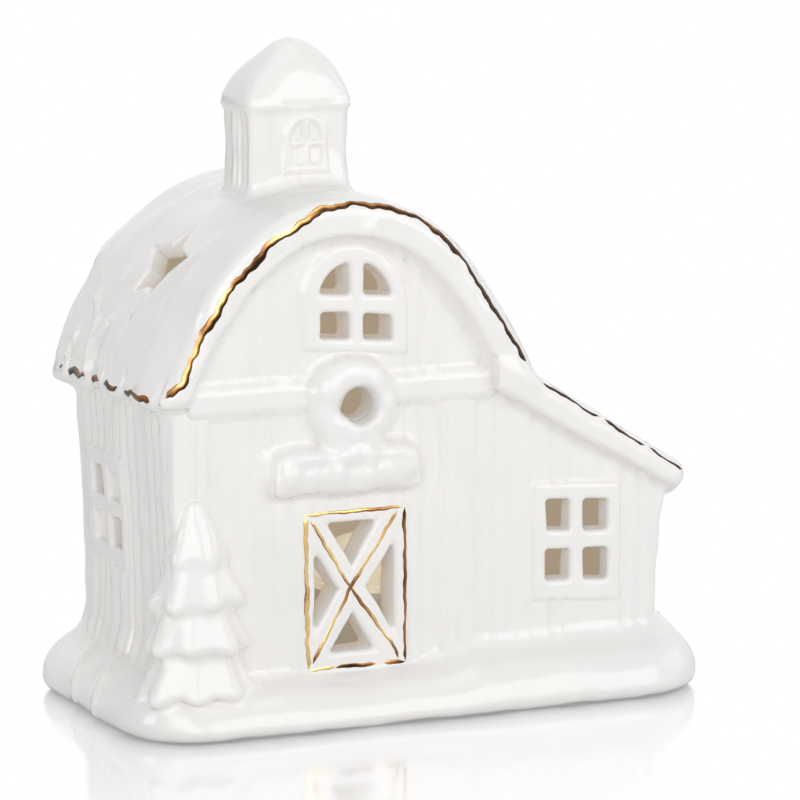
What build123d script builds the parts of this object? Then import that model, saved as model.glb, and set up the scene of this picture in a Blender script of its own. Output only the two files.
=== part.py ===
from build123d import *
import os
from math import asin, atan2, cos, degrees, hypot, pi, sin, sqrt

# Porcelain village barn with a pull-out battery light, each piece a solid of its own.
# Millimetres: X runs along the front to the right, -Y is the front and +Z is up.
# The origin is under the middle of the base, on the surface that the foot pads stand on.

# Walls
HOUSE_WIDTH = 122.0
HOUSE_DEPTH = 57.0
WALL = 5.0
BARN_WIDTH = 83.0
BOARD_PITCH = 3.4
GROOVE_WIDTH = 0.7
GROOVE_DEPTH = 0.5

# Base and foot pads
BASE_MARGIN = 12.2
BASE_END_MARGIN = 10.7
BASE_CORNER = 20.0
BASE_TOP_ROUND = 6.0
BASE_FOOT_ROUND = 2.5
PAD_RADIUS = 4.0
PAD_THICKNESS = 1.0
PAD_INSET = 15.0
FLOOR_THICKNESS = 6.0
SNOW_HEIGHT = 10.3

# Main roof: crown arc from the ridge to the knee, side arc from the knee to the eave
EAVE_HEIGHT = 76.5
KNEE_RISE = 31.5
RIDGE_RISE = 10.3
KNEE_INSET = 20.5
EAVE_OVERHANG = 5.0
GABLE_OVERHANG = 5.0
ROOF_THICKNESS = 5.5
VERGE_THICKNESS = 9.0
ROOF_EDGE_ROUND = 2.5
STAR_TIP = 10.5
STAR_NOTCH = 5.2
STAR_POINTS = 5
STAR_INSET = 14.5
STAR_SHIFT = -1.7

# Lean-to roof
LEAN_EAVE_HEIGHT = 51.5
LEAN_OVERHANG = 5.5
LEAN_VERGE_DROP = 9.0

# Cupola
CUPOLA_SHIFT = -0.9
TOWER_WIDTH = 24.4
TOWER_DEPTH = 17.0
TOWER_WALL = 4.0
TOWER_RISE = 18.7
TOWER_CORNER = 2.0
CAP_OVERHANG = 1.3
CAP_RIM = 2.2
CAP_SHOULDER_RISE = 5.8
CAP_SHOULDER = 0.6
CAP_RISE = 13.7
CAP_TIP = 2.0
RELIEF_WIDTH = 9.0
RELIEF_HEIGHT = 12.0
RELIEF_PROUD = 0.8

# Front trim
BEAM_HEIGHT = 7.0
BEAM_PROUD = 2.5
POST_WIDTH = 7.6
POST_PROUD = 1.0
POST_SHIFT = 28.1
TRIM_SHIFT = 3.3

# Door and windows
DOOR_WIDTH = 25.3
DOOR_FRAME = 2.6
DOOR_BRACE = 6.0
WINDOW_WIDTH = 21.6
WINDOW_HEIGHT = 25.7
WINDOW_FRAME = 3.2
WINDOW_BAR = 3.7
WINDOW_PROUD = 1.2
LEAN_WINDOW_SHIFT = -2.8
LEAN_WINDOW_LIFT = 11.7
SIDE_WINDOW_MARGIN = 2.7
SIDE_WINDOW_LIFT = 20.7
BLIND_RECESS = 1.7
GABLE_WINDOW_WIDTH = 25.0
GABLE_WINDOW_SPRING = 11.6
GABLE_WINDOW_FRAME = 3.6
GABLE_WINDOW_LIFT = 6.6

# Wreath, bow and snow ledge
WREATH_SHIFT = 2.6
WREATH_DROP = 4.3
WREATH_RING_RADIUS = 6.6
WREATH_LOBE_RADIUS = 3.5
WREATH_LOBES = 11
WREATH_HOLE = 3.6
WREATH_DEPTH = 5.5
WREATH_ROUND = 1.2
BOW_LOOP = 4.2
BOW_THICKNESS = 1.8
BOW_TILT = 18.0
BOW_TAIL = 6.0
BOW_TAIL_OUTER = 4.5
BOW_TAIL_INNER = 1.5
LEDGE_WIDTH = 37.0
LEDGE_HEIGHT = 8.0
LEDGE_DEPTH = 6.0
LEDGE_ROUND = 2.2
LEDGE_LIFT = 3.8
LEDGE_DROP = 24.9
LEDGE_LUMPS = 5
LEDGE_LUMP_RADIUS = 3.6

# Pine tree
TREE_HEIGHT = 42.4
TREE_RADIUS = 11.6
TREE_TIERS = 4
TREE_TAPER = 0.66
TREE_NECK = 0.62
TREE_TIP = 0.5
TREE_SKIRT = 0.25
TREE_TOP = 0.8
TREE_INSET = 5.7
TREE_OUT = 0.5
TREE_FOOT = 5.0
TREE_SEAM = 45.0

# Gold lustre lines
GILT_WIDTH = 0.9
GILT_THICKNESS = 0.2
GILT_INSET = 0.5

# Light unit
HOUSING_WALL = 1.6
HOUSING_HEIGHT = 23.4
HOUSING_FLOOR = 2.2
HOLE_CLEARANCE = 0.5
FLANGE_WIDTH = 4.0
FLANGE_THICKNESS = 2.0
FLANGE_CLEARANCE = 0.5
RECESS_DEPTH = 2.6
SEAL_HEIGHT = 1.6
SEAL_SINK = 0.8
SEAL_LIFT = 0.9
SEAL_CLEARANCE = 0.2
FIT_CLEARANCE = 0.3
SCREW_CLEARANCE = 0.05

# Button cells and their bay
CELL_RADIUS = 5.8
CELL_LENGTH = 5.4
CELL_COUNT = 3
CELL_GAP = 0.1
BAY_SHIFT = -4.6
BAY_WALL = 1.2
CONTACT_THICKNESS = 0.4
CONTACT_WIDTH = 5.0
SPRING_ROOM = 2.5
COVER_THICKNESS = 1.2
COVER_LIP = 1.2

# Screw, board, lamp and dome
SCREW_RADIUS = 1.0
SCREW_LENGTH = 6.2
SCREW_HEAD_RADIUS = 2.0
SCREW_HEAD = 0.65
SCREW_SLOT = 0.5
SCREW_SLOT_LENGTH = 2.8
BOSS_WALL = 1.6
BOSS_HEIGHT = 6.4
BOSS_BITE = 0.4
BOARD_THICKNESS = 1.2
LED_RADIUS = 2.5
LED_LENGTH = 6.1
LED_COLLAR = 0.4
DOME_RISE = 9.5
DOME_WALL = 1.4
DOME_RIM = 1.5
DOME_SKIRT = 2.0

# Slide switch
SWITCH_SHIFT = 8.6
SWITCH_LENGTH = 10.0
SWITCH_WIDTH = 5.6
SWITCH_HEIGHT = 5.0
SWITCH_TRAVEL = 2.4
KNOB_LENGTH = 3.0
KNOB_WIDTH = 2.0
KNOB_PROUD = 0.5
SLIDER_LENGTH = 4.4
SLIDER_WIDTH = 3.4
SLIDER_HEIGHT = 1.5

# Levels and faces that follow from the sizes above
LEFT = -HOUSE_WIDTH / 2
RIGHT = HOUSE_WIDTH / 2
FRONT = -HOUSE_DEPTH / 2
BACK = HOUSE_DEPTH / 2
BASE_BOTTOM = PAD_THICKNESS
FLOOR_TOP = BASE_BOTTOM + FLOOR_THICKNESS
SNOW_TOP = BASE_BOTTOM + SNOW_HEIGHT
BARN_X = LEFT + BARN_WIDTH / 2
LEAN_X = (LEFT + BARN_WIDTH + RIGHT) / 2
EAVE_X = BARN_WIDTH / 2 + EAVE_OVERHANG
KNEE_X = EAVE_X - KNEE_INSET
KNEE_Z = EAVE_HEIGHT + KNEE_RISE
RIDGE_Z = KNEE_Z + RIDGE_RISE
VERGE_FRONT = FRONT - GABLE_OVERHANG
VERGE_BACK = BACK + GABLE_OVERHANG
TRIM_X = BARN_X + TRIM_SHIFT
WREATH_X = BARN_X + WREATH_SHIFT
WREATH_Z = EAVE_HEIGHT - WREATH_DROP
LEDGE_BOTTOM = EAVE_HEIGHT - LEDGE_DROP
DOOR_HEIGHT = LEDGE_BOTTOM - LEDGE_LIFT - SNOW_TOP
CUPOLA_X = BARN_X + CUPOLA_SHIFT
TOWER_TOP = RIDGE_Z + TOWER_RISE
FLANGE_TOP = BASE_BOTTOM + RECESS_DEPTH
UNIT_BOTTOM = FLANGE_TOP - FLANGE_THICKNESS
HOUSING_TOP = UNIT_BOTTOM + HOUSING_HEIGHT
UNIT_FLOOR = UNIT_BOTTOM + HOUSING_FLOOR
COVER_TOP = UNIT_BOTTOM + COVER_THICKNESS
CELL_Z = COVER_TOP + FIT_CLEARANCE + CELL_RADIUS
STACK_END = (CELL_COUNT * (CELL_LENGTH + CELL_GAP) - CELL_GAP) / 2
BAY_LEFT = -STACK_END - SPRING_ROOM
BAY_RIGHT = STACK_END + CONTACT_THICKNESS
BAY_HALF = CELL_RADIUS + FIT_CLEARANCE
BAY_TOP = CELL_Z + BAY_HALF
BOARD_BOTTOM = BAY_TOP + BAY_WALL
BOARD_TOP = BOARD_BOTTOM + BOARD_THICKNESS
BOSS_RADIUS = SCREW_RADIUS + SCREW_CLEARANCE + BOSS_WALL
SCREW_X = BAY_RIGHT + BAY_WALL + BOSS_RADIUS
HOUSING_INSIDE = hypot(SCREW_X + BOSS_RADIUS, BAY_SHIFT) - BOSS_BITE
HOUSING_RADIUS = HOUSING_INSIDE + HOUSING_WALL
HOLE_RADIUS = HOUSING_RADIUS + HOLE_CLEARANCE
HEAD_TOP = UNIT_BOTTOM + SCREW_HEAD
SWITCH_ROOM = SLIDER_LENGTH + SWITCH_TRAVEL + 2 * FIT_CLEARANCE


def block(x0, x1, y0, y1, z0, z1):
    """Box between two opposite corners."""
    middle = Pos((x0 + x1) / 2, (y0 + y1) / 2, (z0 + z1) / 2)
    return middle * Box(x1 - x0, y1 - y0, z1 - z0)


def disc(radius, z0, z1, x=0.0, y=0.0):
    """Upright cylinder between two heights."""
    return Pos(x, y, (z0 + z1) / 2) * Cylinder(radius, z1 - z0)


def slab(outline, y0, y1):
    """Front-view outline, drawn in x and z, made solid from y0 to y1."""
    return extrude(Plane.XZ.offset(-y1) * outline, amount=y1 - y0)


def side_slab(outline, x0, x1):
    """Side-view outline, drawn in y and z, made solid from x0 to x1."""
    return extrude(Plane.YZ.offset(x0) * outline, amount=x1 - x0)


def front_boards(x0, x1, face, inward, z0, z1):
    """Grooves between upright boards on a front or back face."""
    count = int((x1 - x0) / BOARD_PITCH)
    margin = (x1 - x0 - (count - 1) * BOARD_PITCH) / 2
    near, far = sorted((face, face + inward * GROOVE_DEPTH))
    grooves = []
    for index in range(count):
        middle = x0 + margin + index * BOARD_PITCH
        grooves.append(block(middle - GROOVE_WIDTH / 2, middle + GROOVE_WIDTH / 2, near, far, z0, z1))
    return grooves


def side_boards(y0, y1, face, inward, z0, z1):
    """Grooves between upright boards on a left or right face."""
    count = int((y1 - y0) / BOARD_PITCH)
    margin = (y1 - y0 - (count - 1) * BOARD_PITCH) / 2
    near, far = sorted((face, face + inward * GROOVE_DEPTH))
    grooves = []
    for index in range(count):
        middle = y0 + margin + index * BOARD_PITCH
        grooves.append(block(near, far, middle - GROOVE_WIDTH / 2, middle + GROOVE_WIDTH / 2, z0, z1))
    return grooves


# Outlines of the two roofs, seen from the front

CROWN_RADIUS = (KNEE_X**2 + RIDGE_RISE**2) / (2 * RIDGE_RISE)
KNEE_LEAN = asin(KNEE_X / CROWN_RADIUS)
SIDE_CHORD = hypot(EAVE_X - KNEE_X, KNEE_RISE)
SIDE_SAG = KNEE_RISE * cos(KNEE_LEAN) - (EAVE_X - KNEE_X) * sin(KNEE_LEAN)
SIDE_RADIUS = SIDE_CHORD**2 / (2 * SIDE_SAG)
SIDE_X = KNEE_X - SIDE_RADIUS * sin(KNEE_LEAN)
SIDE_Z = KNEE_Z - SIDE_RADIUS * cos(KNEE_LEAN)
LEAN_TOP_X = BARN_X + EAVE_X
LEAN_TIP_X = RIGHT + LEAN_OVERHANG
LEAN_FALL = (EAVE_HEIGHT - LEAN_EAVE_HEIGHT) / (LEAN_TIP_X - LEAN_TOP_X)
LEAN_LENGTH = hypot(1.0, LEAN_FALL)


def arch_foot(depth):
    """Half width of the arch at the eave, a given depth inside the roof's top line."""
    return SIDE_X + sqrt((SIDE_RADIUS - depth) ** 2 - (EAVE_HEIGHT - SIDE_Z) ** 2)


def arch_outline(depth):
    """Gambrel arch a given depth inside the roof's top line, closed at the eave."""
    radius = SIDE_RADIUS - depth
    foot = arch_foot(depth)
    knee_angle = pi / 2 - KNEE_LEAN
    foot_angle = atan2(EAVE_HEIGHT - SIDE_Z, foot - SIDE_X)
    middle_angle = (knee_angle + foot_angle) / 2
    middle_x = SIDE_X + radius * cos(middle_angle)
    middle_z = SIDE_Z + radius * sin(middle_angle)
    knee_x = KNEE_X - depth * sin(KNEE_LEAN)
    knee_z = KNEE_Z - depth * cos(KNEE_LEAN)
    ridge = (BARN_X, RIDGE_Z - depth)
    left = [(BARN_X - foot, EAVE_HEIGHT), (BARN_X - middle_x, middle_z), (BARN_X - knee_x, knee_z)]
    right = [(BARN_X + knee_x, knee_z), (BARN_X + middle_x, middle_z), (BARN_X + foot, EAVE_HEIGHT)]
    crown = ThreePointArc(left[2], ridge, right[0])
    return make_face([ThreePointArc(*left), crown, ThreePointArc(*right), Line(right[2], left[0])])


def lean_under(x):
    """Height of the lean-to roof's underside."""
    return EAVE_HEIGHT - (x - LEAN_TOP_X) * LEAN_FALL - ROOF_THICKNESS * LEAN_LENGTH


def polygon(*points):
    """Face inside a closed line of straight edges."""
    return make_face(Polyline(*points, close=True))


def lean_outline(root_x, root_z):
    """Lean-to roof from the front, with its root under the main roof's eave."""
    tip_in = ROOF_THICKNESS * LEAN_FALL / LEAN_LENGTH
    tip_drop = ROOF_THICKNESS / LEAN_LENGTH
    return polygon(
        (root_x, EAVE_HEIGHT),
        (LEAN_TOP_X, EAVE_HEIGHT),
        (LEAN_TIP_X, LEAN_EAVE_HEIGHT),
        (LEAN_TIP_X - tip_in, LEAN_EAVE_HEIGHT - tip_drop),
        (root_x, root_z),
    )


def house_outline():
    """Front and back walls: everything under the two roofs."""
    root_x = BARN_X + arch_foot(ROOF_THICKNESS)
    body = polygon(
        (LEFT, FLOOR_TOP),
        (RIGHT, FLOOR_TOP),
        (RIGHT, lean_under(RIGHT)),
        (root_x, lean_under(root_x)),
        (root_x, EAVE_HEIGHT),
        (LEFT, EAVE_HEIGHT),
    )
    span = Pos((LEFT + RIGHT) / 2, RIDGE_Z / 2) * Rectangle(HOUSE_WIDTH, RIDGE_Z)
    return body + (arch_outline(ROOF_THICKNESS) & span)


# Openings that the walls share with the door, the windows and the wreath

def four_panes():
    """Four-pane window: outline less its panes."""
    pane_width = (WINDOW_WIDTH - 2 * WINDOW_FRAME - WINDOW_BAR) / 2
    pane_height = (WINDOW_HEIGHT - 2 * WINDOW_FRAME - WINDOW_BAR) / 2
    places = GridLocations(pane_width + WINDOW_BAR, pane_height + WINDOW_BAR, 2, 2)
    return Rectangle(WINDOW_WIDTH, WINDOW_HEIGHT) - places * Rectangle(pane_width, pane_height)


def gable_arch(inset):
    """Round-headed outline of the gable window, a given distance inside its edge."""
    radius = GABLE_WINDOW_WIDTH / 2 - inset
    height = GABLE_WINDOW_SPRING - inset
    foot = Pos(0, inset + height / 2) * Rectangle(2 * radius, height)
    return foot + Pos(0, GABLE_WINDOW_SPRING) * Circle(radius)


LEAN_WINDOW_AT = Pos(LEAN_X + LEAN_WINDOW_SHIFT, SNOW_TOP + LEAN_WINDOW_LIFT + WINDOW_HEIGHT / 2)
SIDE_WINDOW_Y = BACK - WALL - SIDE_WINDOW_MARGIN - WINDOW_WIDTH / 2
SIDE_WINDOW_AT = Pos(SIDE_WINDOW_Y, SNOW_TOP + SIDE_WINDOW_LIFT + WINDOW_HEIGHT / 2)
GABLE_WINDOW_AT = Pos(TRIM_X, EAVE_HEIGHT + GABLE_WINDOW_LIFT)
DOOR_AT = Pos(TRIM_X, SNOW_TOP + DOOR_HEIGHT / 2)
WREATH_AT = Pos(WREATH_X, WREATH_Z)


# Porcelain house

def snow_base_body():
    """Rounded snowy foot before its hollows are cut."""
    width = HOUSE_WIDTH + 2 * BASE_END_MARGIN
    depth = HOUSE_DEPTH + 2 * BASE_MARGIN
    body = Pos(0, 0, BASE_BOTTOM) * extrude(RectangleRounded(width, depth, BASE_CORNER), amount=SNOW_HEIGHT)
    body = fillet(body.edges().group_by(Axis.Z)[-1], BASE_TOP_ROUND)
    return fillet(body.edges().group_by(Axis.Z)[0], BASE_FOOT_ROUND)


def snow_base():
    """Snowy foot: bed for the walls, hole for the light and recess for its flange."""
    bed = block(LEFT, RIGHT, FRONT, BACK, FLOOR_TOP, SNOW_TOP + WALL)
    recess = disc(HOUSING_RADIUS + FLANGE_WIDTH + FLANGE_CLEARANCE, 0, FLANGE_TOP)
    return snow_base_body() - bed - recess - disc(HOLE_RADIUS, 0, SNOW_TOP)


def foot_pads():
    """Four soft pads that the base stands on."""
    spread_x = HOUSE_WIDTH + 2 * BASE_END_MARGIN - 2 * PAD_INSET
    spread_y = HOUSE_DEPTH + 2 * BASE_MARGIN - 2 * PAD_INSET
    pads = GridLocations(spread_x, spread_y, 2, 2) * disc(PAD_RADIUS, 0, PAD_THICKNESS)
    return Part() + pads


def front_wall():
    """Boarded front of the barn and the lean-to, with its openings."""
    wall = slab(house_outline(), FRONT, FRONT + WALL)
    wall -= front_boards(LEFT, RIGHT, FRONT, 1, SNOW_TOP, RIDGE_Z)
    openings = [
        DOOR_AT * Rectangle(DOOR_WIDTH, DOOR_HEIGHT),
        LEAN_WINDOW_AT * Rectangle(WINDOW_WIDTH, WINDOW_HEIGHT),
        GABLE_WINDOW_AT * gable_arch(0),
        WREATH_AT * Circle(WREATH_HOLE),
    ]
    return wall - [slab(opening, FRONT, FRONT + WALL) for opening in openings]


def back_wall():
    """Boarded back of the barn and the lean-to."""
    wall = slab(house_outline(), BACK - WALL, BACK)
    return wall - front_boards(LEFT, RIGHT, BACK, -1, SNOW_TOP, RIDGE_Z)


def left_wall():
    """Tall boarded side under the main roof's left eave."""
    inside = slab(house_outline(), FRONT + WALL, BACK - WALL)
    wall = inside & block(LEFT, LEFT + WALL, FRONT, BACK, FLOOR_TOP, RIDGE_Z)
    wall -= side_boards(FRONT + WALL, BACK - WALL, LEFT, 1, SNOW_TOP, RIDGE_Z)
    opening = SIDE_WINDOW_AT * Rectangle(WINDOW_WIDTH, WINDOW_HEIGHT)
    return wall - side_slab(opening, LEFT, LEFT + WALL)


def right_wall():
    """Low boarded side under the lean-to's eave."""
    inside = slab(house_outline(), FRONT + WALL, BACK - WALL)
    wall = inside & block(RIGHT - WALL, RIGHT, FRONT, BACK, FLOOR_TOP, RIDGE_Z)
    return wall - side_boards(FRONT + WALL, BACK - WALL, RIGHT, -1, SNOW_TOP, RIDGE_Z)


def star_cut():
    """Five-pointed star square to the left slope, long enough to go through it."""
    step = pi / STAR_POINTS
    corners = []
    for index in range(2 * STAR_POINTS):
        reach = STAR_NOTCH if index % 2 else STAR_TIP
        corners.append((reach * sin(index * step), reach * cos(index * step)))
    star_x = EAVE_X - STAR_INSET
    angle = atan2(sqrt(SIDE_RADIUS**2 - (star_x - SIDE_X) ** 2), star_x - SIDE_X)
    star_z = SIDE_Z + SIDE_RADIUS * sin(angle)
    outward = (-cos(angle), 0, sin(angle))
    face = Plane(origin=(BARN_X - star_x, STAR_SHIFT, star_z), x_dir=(0, 1, 0), z_dir=outward)
    return extrude(face * polygon(*corners), amount=2 * ROOF_THICKNESS, both=True)


def tower_plan(inset):
    """Plan of the cupola tower, a given distance inside its outer face."""
    corner = max(TOWER_CORNER - inset, GROOVE_DEPTH)
    plan = RectangleRounded(TOWER_WIDTH - 2 * inset, TOWER_DEPTH - 2 * inset, corner)
    return Pos(CUPOLA_X, 0) * plan


def main_roof():
    """Gambrel roof with thick gable edges, the star and the opening into the cupola."""
    roof = slab(arch_outline(0), VERGE_FRONT, VERGE_BACK)
    crown = roof.faces().filter_by(GeomType.CYLINDER)
    rims = [edge for face in crown for edge in face.edges().filter_by(GeomType.CIRCLE)]
    roof = fillet(rims, ROOF_EDGE_ROUND)
    roof -= slab(arch_outline(ROOF_THICKNESS), FRONT, BACK)
    roof -= slab(arch_outline(VERGE_THICKNESS), VERGE_FRONT, VERGE_BACK)
    well = Pos(0, 0, KNEE_Z) * extrude(tower_plan(TOWER_WALL), amount=TOWER_TOP - KNEE_Z)
    return roof - well - star_cut()


def lean_to_roof():
    """Single slope that carries on from the main roof's right eave."""
    root_x = BARN_X + arch_foot(ROOF_THICKNESS)
    verge_x = BARN_X + arch_foot(VERGE_THICKNESS)
    verge = lean_outline(verge_x, EAVE_HEIGHT - LEAN_VERGE_DROP)
    roof = slab(lean_outline(root_x, lean_under(root_x)), FRONT, BACK)
    return roof + slab(verge, VERGE_FRONT, FRONT) + slab(verge, BACK, VERGE_BACK)


def cupola_tower():
    """Hollow boarded tower, cut to sit on the roof's crown."""
    height = TOWER_TOP - KNEE_Z
    tower = Pos(0, 0, KNEE_Z) * extrude(tower_plan(0) - tower_plan(TOWER_WALL), amount=height)
    half_width = TOWER_WIDTH / 2 - TOWER_CORNER
    half_depth = TOWER_DEPTH / 2 - TOWER_CORNER
    across = (CUPOLA_X - half_width, CUPOLA_X + half_width)
    tower -= front_boards(*across, -TOWER_DEPTH / 2, 1, KNEE_Z, TOWER_TOP)
    tower -= front_boards(*across, TOWER_DEPTH / 2, -1, KNEE_Z, TOWER_TOP)
    tower -= side_boards(-half_depth, half_depth, CUPOLA_X - TOWER_WIDTH / 2, 1, KNEE_Z, TOWER_TOP)
    tower -= side_boards(-half_depth, half_depth, CUPOLA_X + TOWER_WIDTH / 2, -1, KNEE_Z, TOWER_TOP)
    return tower - slab(arch_outline(0), VERGE_FRONT, VERGE_BACK)


def cupola_cap():
    """Four-sided cap: upright rim, full shoulder and blunt tip."""
    width = TOWER_WIDTH + 2 * CAP_OVERHANG
    depth = TOWER_DEPTH + 2 * CAP_OVERHANG
    levels = [
        Pos(CUPOLA_X, 0, TOWER_TOP) * Rectangle(width, depth),
        Pos(CUPOLA_X, 0, TOWER_TOP + CAP_RIM) * Rectangle(width, depth),
        Pos(CUPOLA_X, 0, TOWER_TOP + CAP_RIM + CAP_SHOULDER_RISE)
        * Rectangle(width * CAP_SHOULDER, depth * CAP_SHOULDER),
        Pos(CUPOLA_X, 0, TOWER_TOP + CAP_RISE) * Rectangle(CAP_TIP, CAP_TIP),
    ]
    return loft(levels, ruled=True)


def cupola_window():
    """Small round-headed window in relief on the front of the tower."""
    radius = RELIEF_WIDTH / 2
    straight = RELIEF_HEIGHT - radius
    frame = Pos(0, straight / 2) * Rectangle(RELIEF_WIDTH, straight) + Pos(0, straight) * Circle(radius)
    pane = (RELIEF_WIDTH - 3 * RELIEF_PROUD) / 2
    panes = GridLocations(pane + RELIEF_PROUD, pane + RELIEF_PROUD, 2, 2) * Rectangle(pane, pane)
    lift = (TOWER_RISE - RELIEF_HEIGHT) / 2
    relief = frame - [Pos(0, pane + 2 * RELIEF_PROUD) * hole for hole in panes]
    face = -TOWER_DEPTH / 2
    return slab(Pos(CUPOLA_X, RIDGE_Z + lift) * relief, face - RELIEF_PROUD, face)


def gable_beam_body():
    """Level beam across the gable before the wreath's hole is cut."""
    verge_x = BARN_X + arch_foot(VERGE_THICKNESS)
    return block(LEFT, verge_x, FRONT - BEAM_PROUD, FRONT, EAVE_HEIGHT - BEAM_HEIGHT, EAVE_HEIGHT)


def wreath_hole():
    """Round way through the wreath, the beam and the wall."""
    return slab(WREATH_AT * Circle(WREATH_HOLE), FRONT - 2 * WREATH_DEPTH, FRONT)


def gable_beam():
    """Level beam across the gable, with the wreath's hole."""
    return gable_beam_body() - wreath_hole()


def corner_posts():
    """Two upright boards, from the snow to the beam."""
    posts = Part()
    for left in (LEFT, BARN_X + POST_SHIFT - POST_WIDTH / 2):
        top = EAVE_HEIGHT - BEAM_HEIGHT
        posts += block(left, left + POST_WIDTH, FRONT - POST_PROUD, FRONT, SNOW_TOP, top)
    return posts


def gable_window():
    """Arched frame with two square and two round-topped panes."""
    bar = Pos(0, GABLE_WINDOW_SPRING) * Rectangle(GABLE_WINDOW_WIDTH, WINDOW_BAR)
    post = Pos(0, GABLE_WINDOW_SPRING) * Rectangle(WINDOW_BAR, 2 * GABLE_WINDOW_WIDTH)
    panes = gable_arch(GABLE_WINDOW_FRAME) - bar - post
    return slab(GABLE_WINDOW_AT * (gable_arch(0) - panes), FRONT - WINDOW_PROUD, FRONT + WALL)


def lean_to_window():
    """Four-pane window in the front of the lean-to."""
    outline = LEAN_WINDOW_AT * four_panes()
    return slab(outline, FRONT - WINDOW_PROUD, FRONT + WALL)


def side_window():
    """Four-pane window in the left wall, with two panes open and the two across from them blind."""
    window = side_slab(SIDE_WINDOW_AT * four_panes(), LEFT - WINDOW_PROUD, LEFT + WALL)
    quarter = Rectangle(WINDOW_WIDTH / 2, WINDOW_HEIGHT / 2)
    for side in (-1, 1):
        blind = SIDE_WINDOW_AT * Pos(side * WINDOW_WIDTH / 4, -side * WINDOW_HEIGHT / 4) * quarter
        window += side_slab(blind, LEFT + BLIND_RECESS, LEFT + WALL)
    return window


def crossed_frame(width, height, frame, brace):
    """Frame with two crossed braces from corner to corner."""
    inner_width = width - 2 * frame
    inner_height = height - 2 * frame
    lean = degrees(atan2(inner_height, inner_width))
    bar = Rectangle(hypot(width, height), brace)
    braces = Rot(0, 0, lean) * bar + Rot(0, 0, -lean) * bar
    panel = Rectangle(width, height)
    return panel - Rectangle(inner_width, inner_height) + (braces & panel)


def barn_door():
    """Pierced panel: a frame and two crossed braces."""
    panel = crossed_frame(DOOR_WIDTH, DOOR_HEIGHT, DOOR_FRAME, DOOR_BRACE)
    return slab(DOOR_AT * panel, FRONT, FRONT + WALL)


def door_gilding():
    """Gold lines along the door's frame and braces."""
    width = DOOR_WIDTH - 2 * GILT_INSET
    height = DOOR_HEIGHT - 2 * GILT_INSET
    lines = crossed_frame(width, height, GILT_WIDTH, GILT_WIDTH)
    return slab(DOOR_AT * lines, FRONT - GILT_THICKNESS, FRONT)


def roof_gilding():
    """Gold line along the front edges of both roofs."""
    arch = arch_outline(ROOF_EDGE_ROUND) - arch_outline(ROOF_EDGE_ROUND + GILT_WIDTH)
    upper = GILT_INSET * LEAN_LENGTH
    lower = (GILT_INSET + GILT_WIDTH) * LEAN_LENGTH
    line = polygon(
        (LEAN_TOP_X, EAVE_HEIGHT - upper),
        (LEAN_TIP_X - GILT_INSET, LEAN_EAVE_HEIGHT + GILT_INSET * LEAN_FALL - upper),
        (LEAN_TIP_X - GILT_INSET, LEAN_EAVE_HEIGHT + GILT_INSET * LEAN_FALL - lower),
        (LEAN_TOP_X, EAVE_HEIGHT - lower),
    )
    lines = slab(arch, VERGE_FRONT - GILT_THICKNESS, VERGE_FRONT)
    return lines + slab(line, VERGE_FRONT - GILT_THICKNESS, VERGE_FRONT)


def wreath():
    """Ring of leafy lobes, its back cut to lie on the beam and the wall."""
    ring = Circle(WREATH_RING_RADIUS + WREATH_LOBE_RADIUS / 2)
    ring += PolarLocations(WREATH_RING_RADIUS, WREATH_LOBES) * Circle(WREATH_LOBE_RADIUS)
    body = slab(WREATH_AT * ring, FRONT - WREATH_DEPTH, FRONT)
    body = fillet(body.edges().group_by(Axis.Y)[0], WREATH_ROUND)
    return body - gable_beam_body() - wreath_hole()


def snow_ledge():
    """Ledge of lumpy snow over the door."""
    half = LEDGE_WIDTH / 2
    front = FRONT - LEDGE_DEPTH
    bar = block(TRIM_X - half, TRIM_X + half, front, FRONT, LEDGE_BOTTOM, LEDGE_BOTTOM + LEDGE_HEIGHT)
    ledge = fillet(bar.edges().filter_by(Axis.X).group_by(Axis.Y)[0], LEDGE_ROUND)
    pitch = (LEDGE_WIDTH - 2 * LEDGE_LUMP_RADIUS) / (LEDGE_LUMPS - 1)
    for index in range(LEDGE_LUMPS):
        place = Pos(TRIM_X - half + LEDGE_LUMP_RADIUS + index * pitch, FRONT - LEDGE_DEPTH / 2, 0)
        ledge += Pos(0, 0, LEDGE_BOTTOM + LEDGE_HEIGHT - LEDGE_ROUND / 2) * place * Sphere(LEDGE_LUMP_RADIUS)
    return ledge - block(LEFT, RIGHT, FRONT, BACK, SNOW_TOP, RIDGE_Z) - wreath()


def wreath_bow():
    """Flat bow with two loops and two tails, lying on the wreath and the ledge."""
    bow = Circle(BOW_LOOP / 2)
    for side in (-1, 1):
        loop = Rot(0, 0, side * BOW_TILT) * Pos(side * BOW_LOOP, 0) * Ellipse(BOW_LOOP, BOW_LOOP / 2)
        tail = polygon(
            (0, 0),
            (side * BOW_TAIL_OUTER, -BOW_TAIL),
            (side * BOW_TAIL_INNER, -BOW_TAIL),
        )
        bow += [loop, tail]
    front = FRONT - WREATH_DEPTH
    place = Pos(WREATH_X, WREATH_Z - WREATH_RING_RADIUS)
    return slab(place * bow, front - BOW_THICKNESS, front) - snow_ledge()


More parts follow.
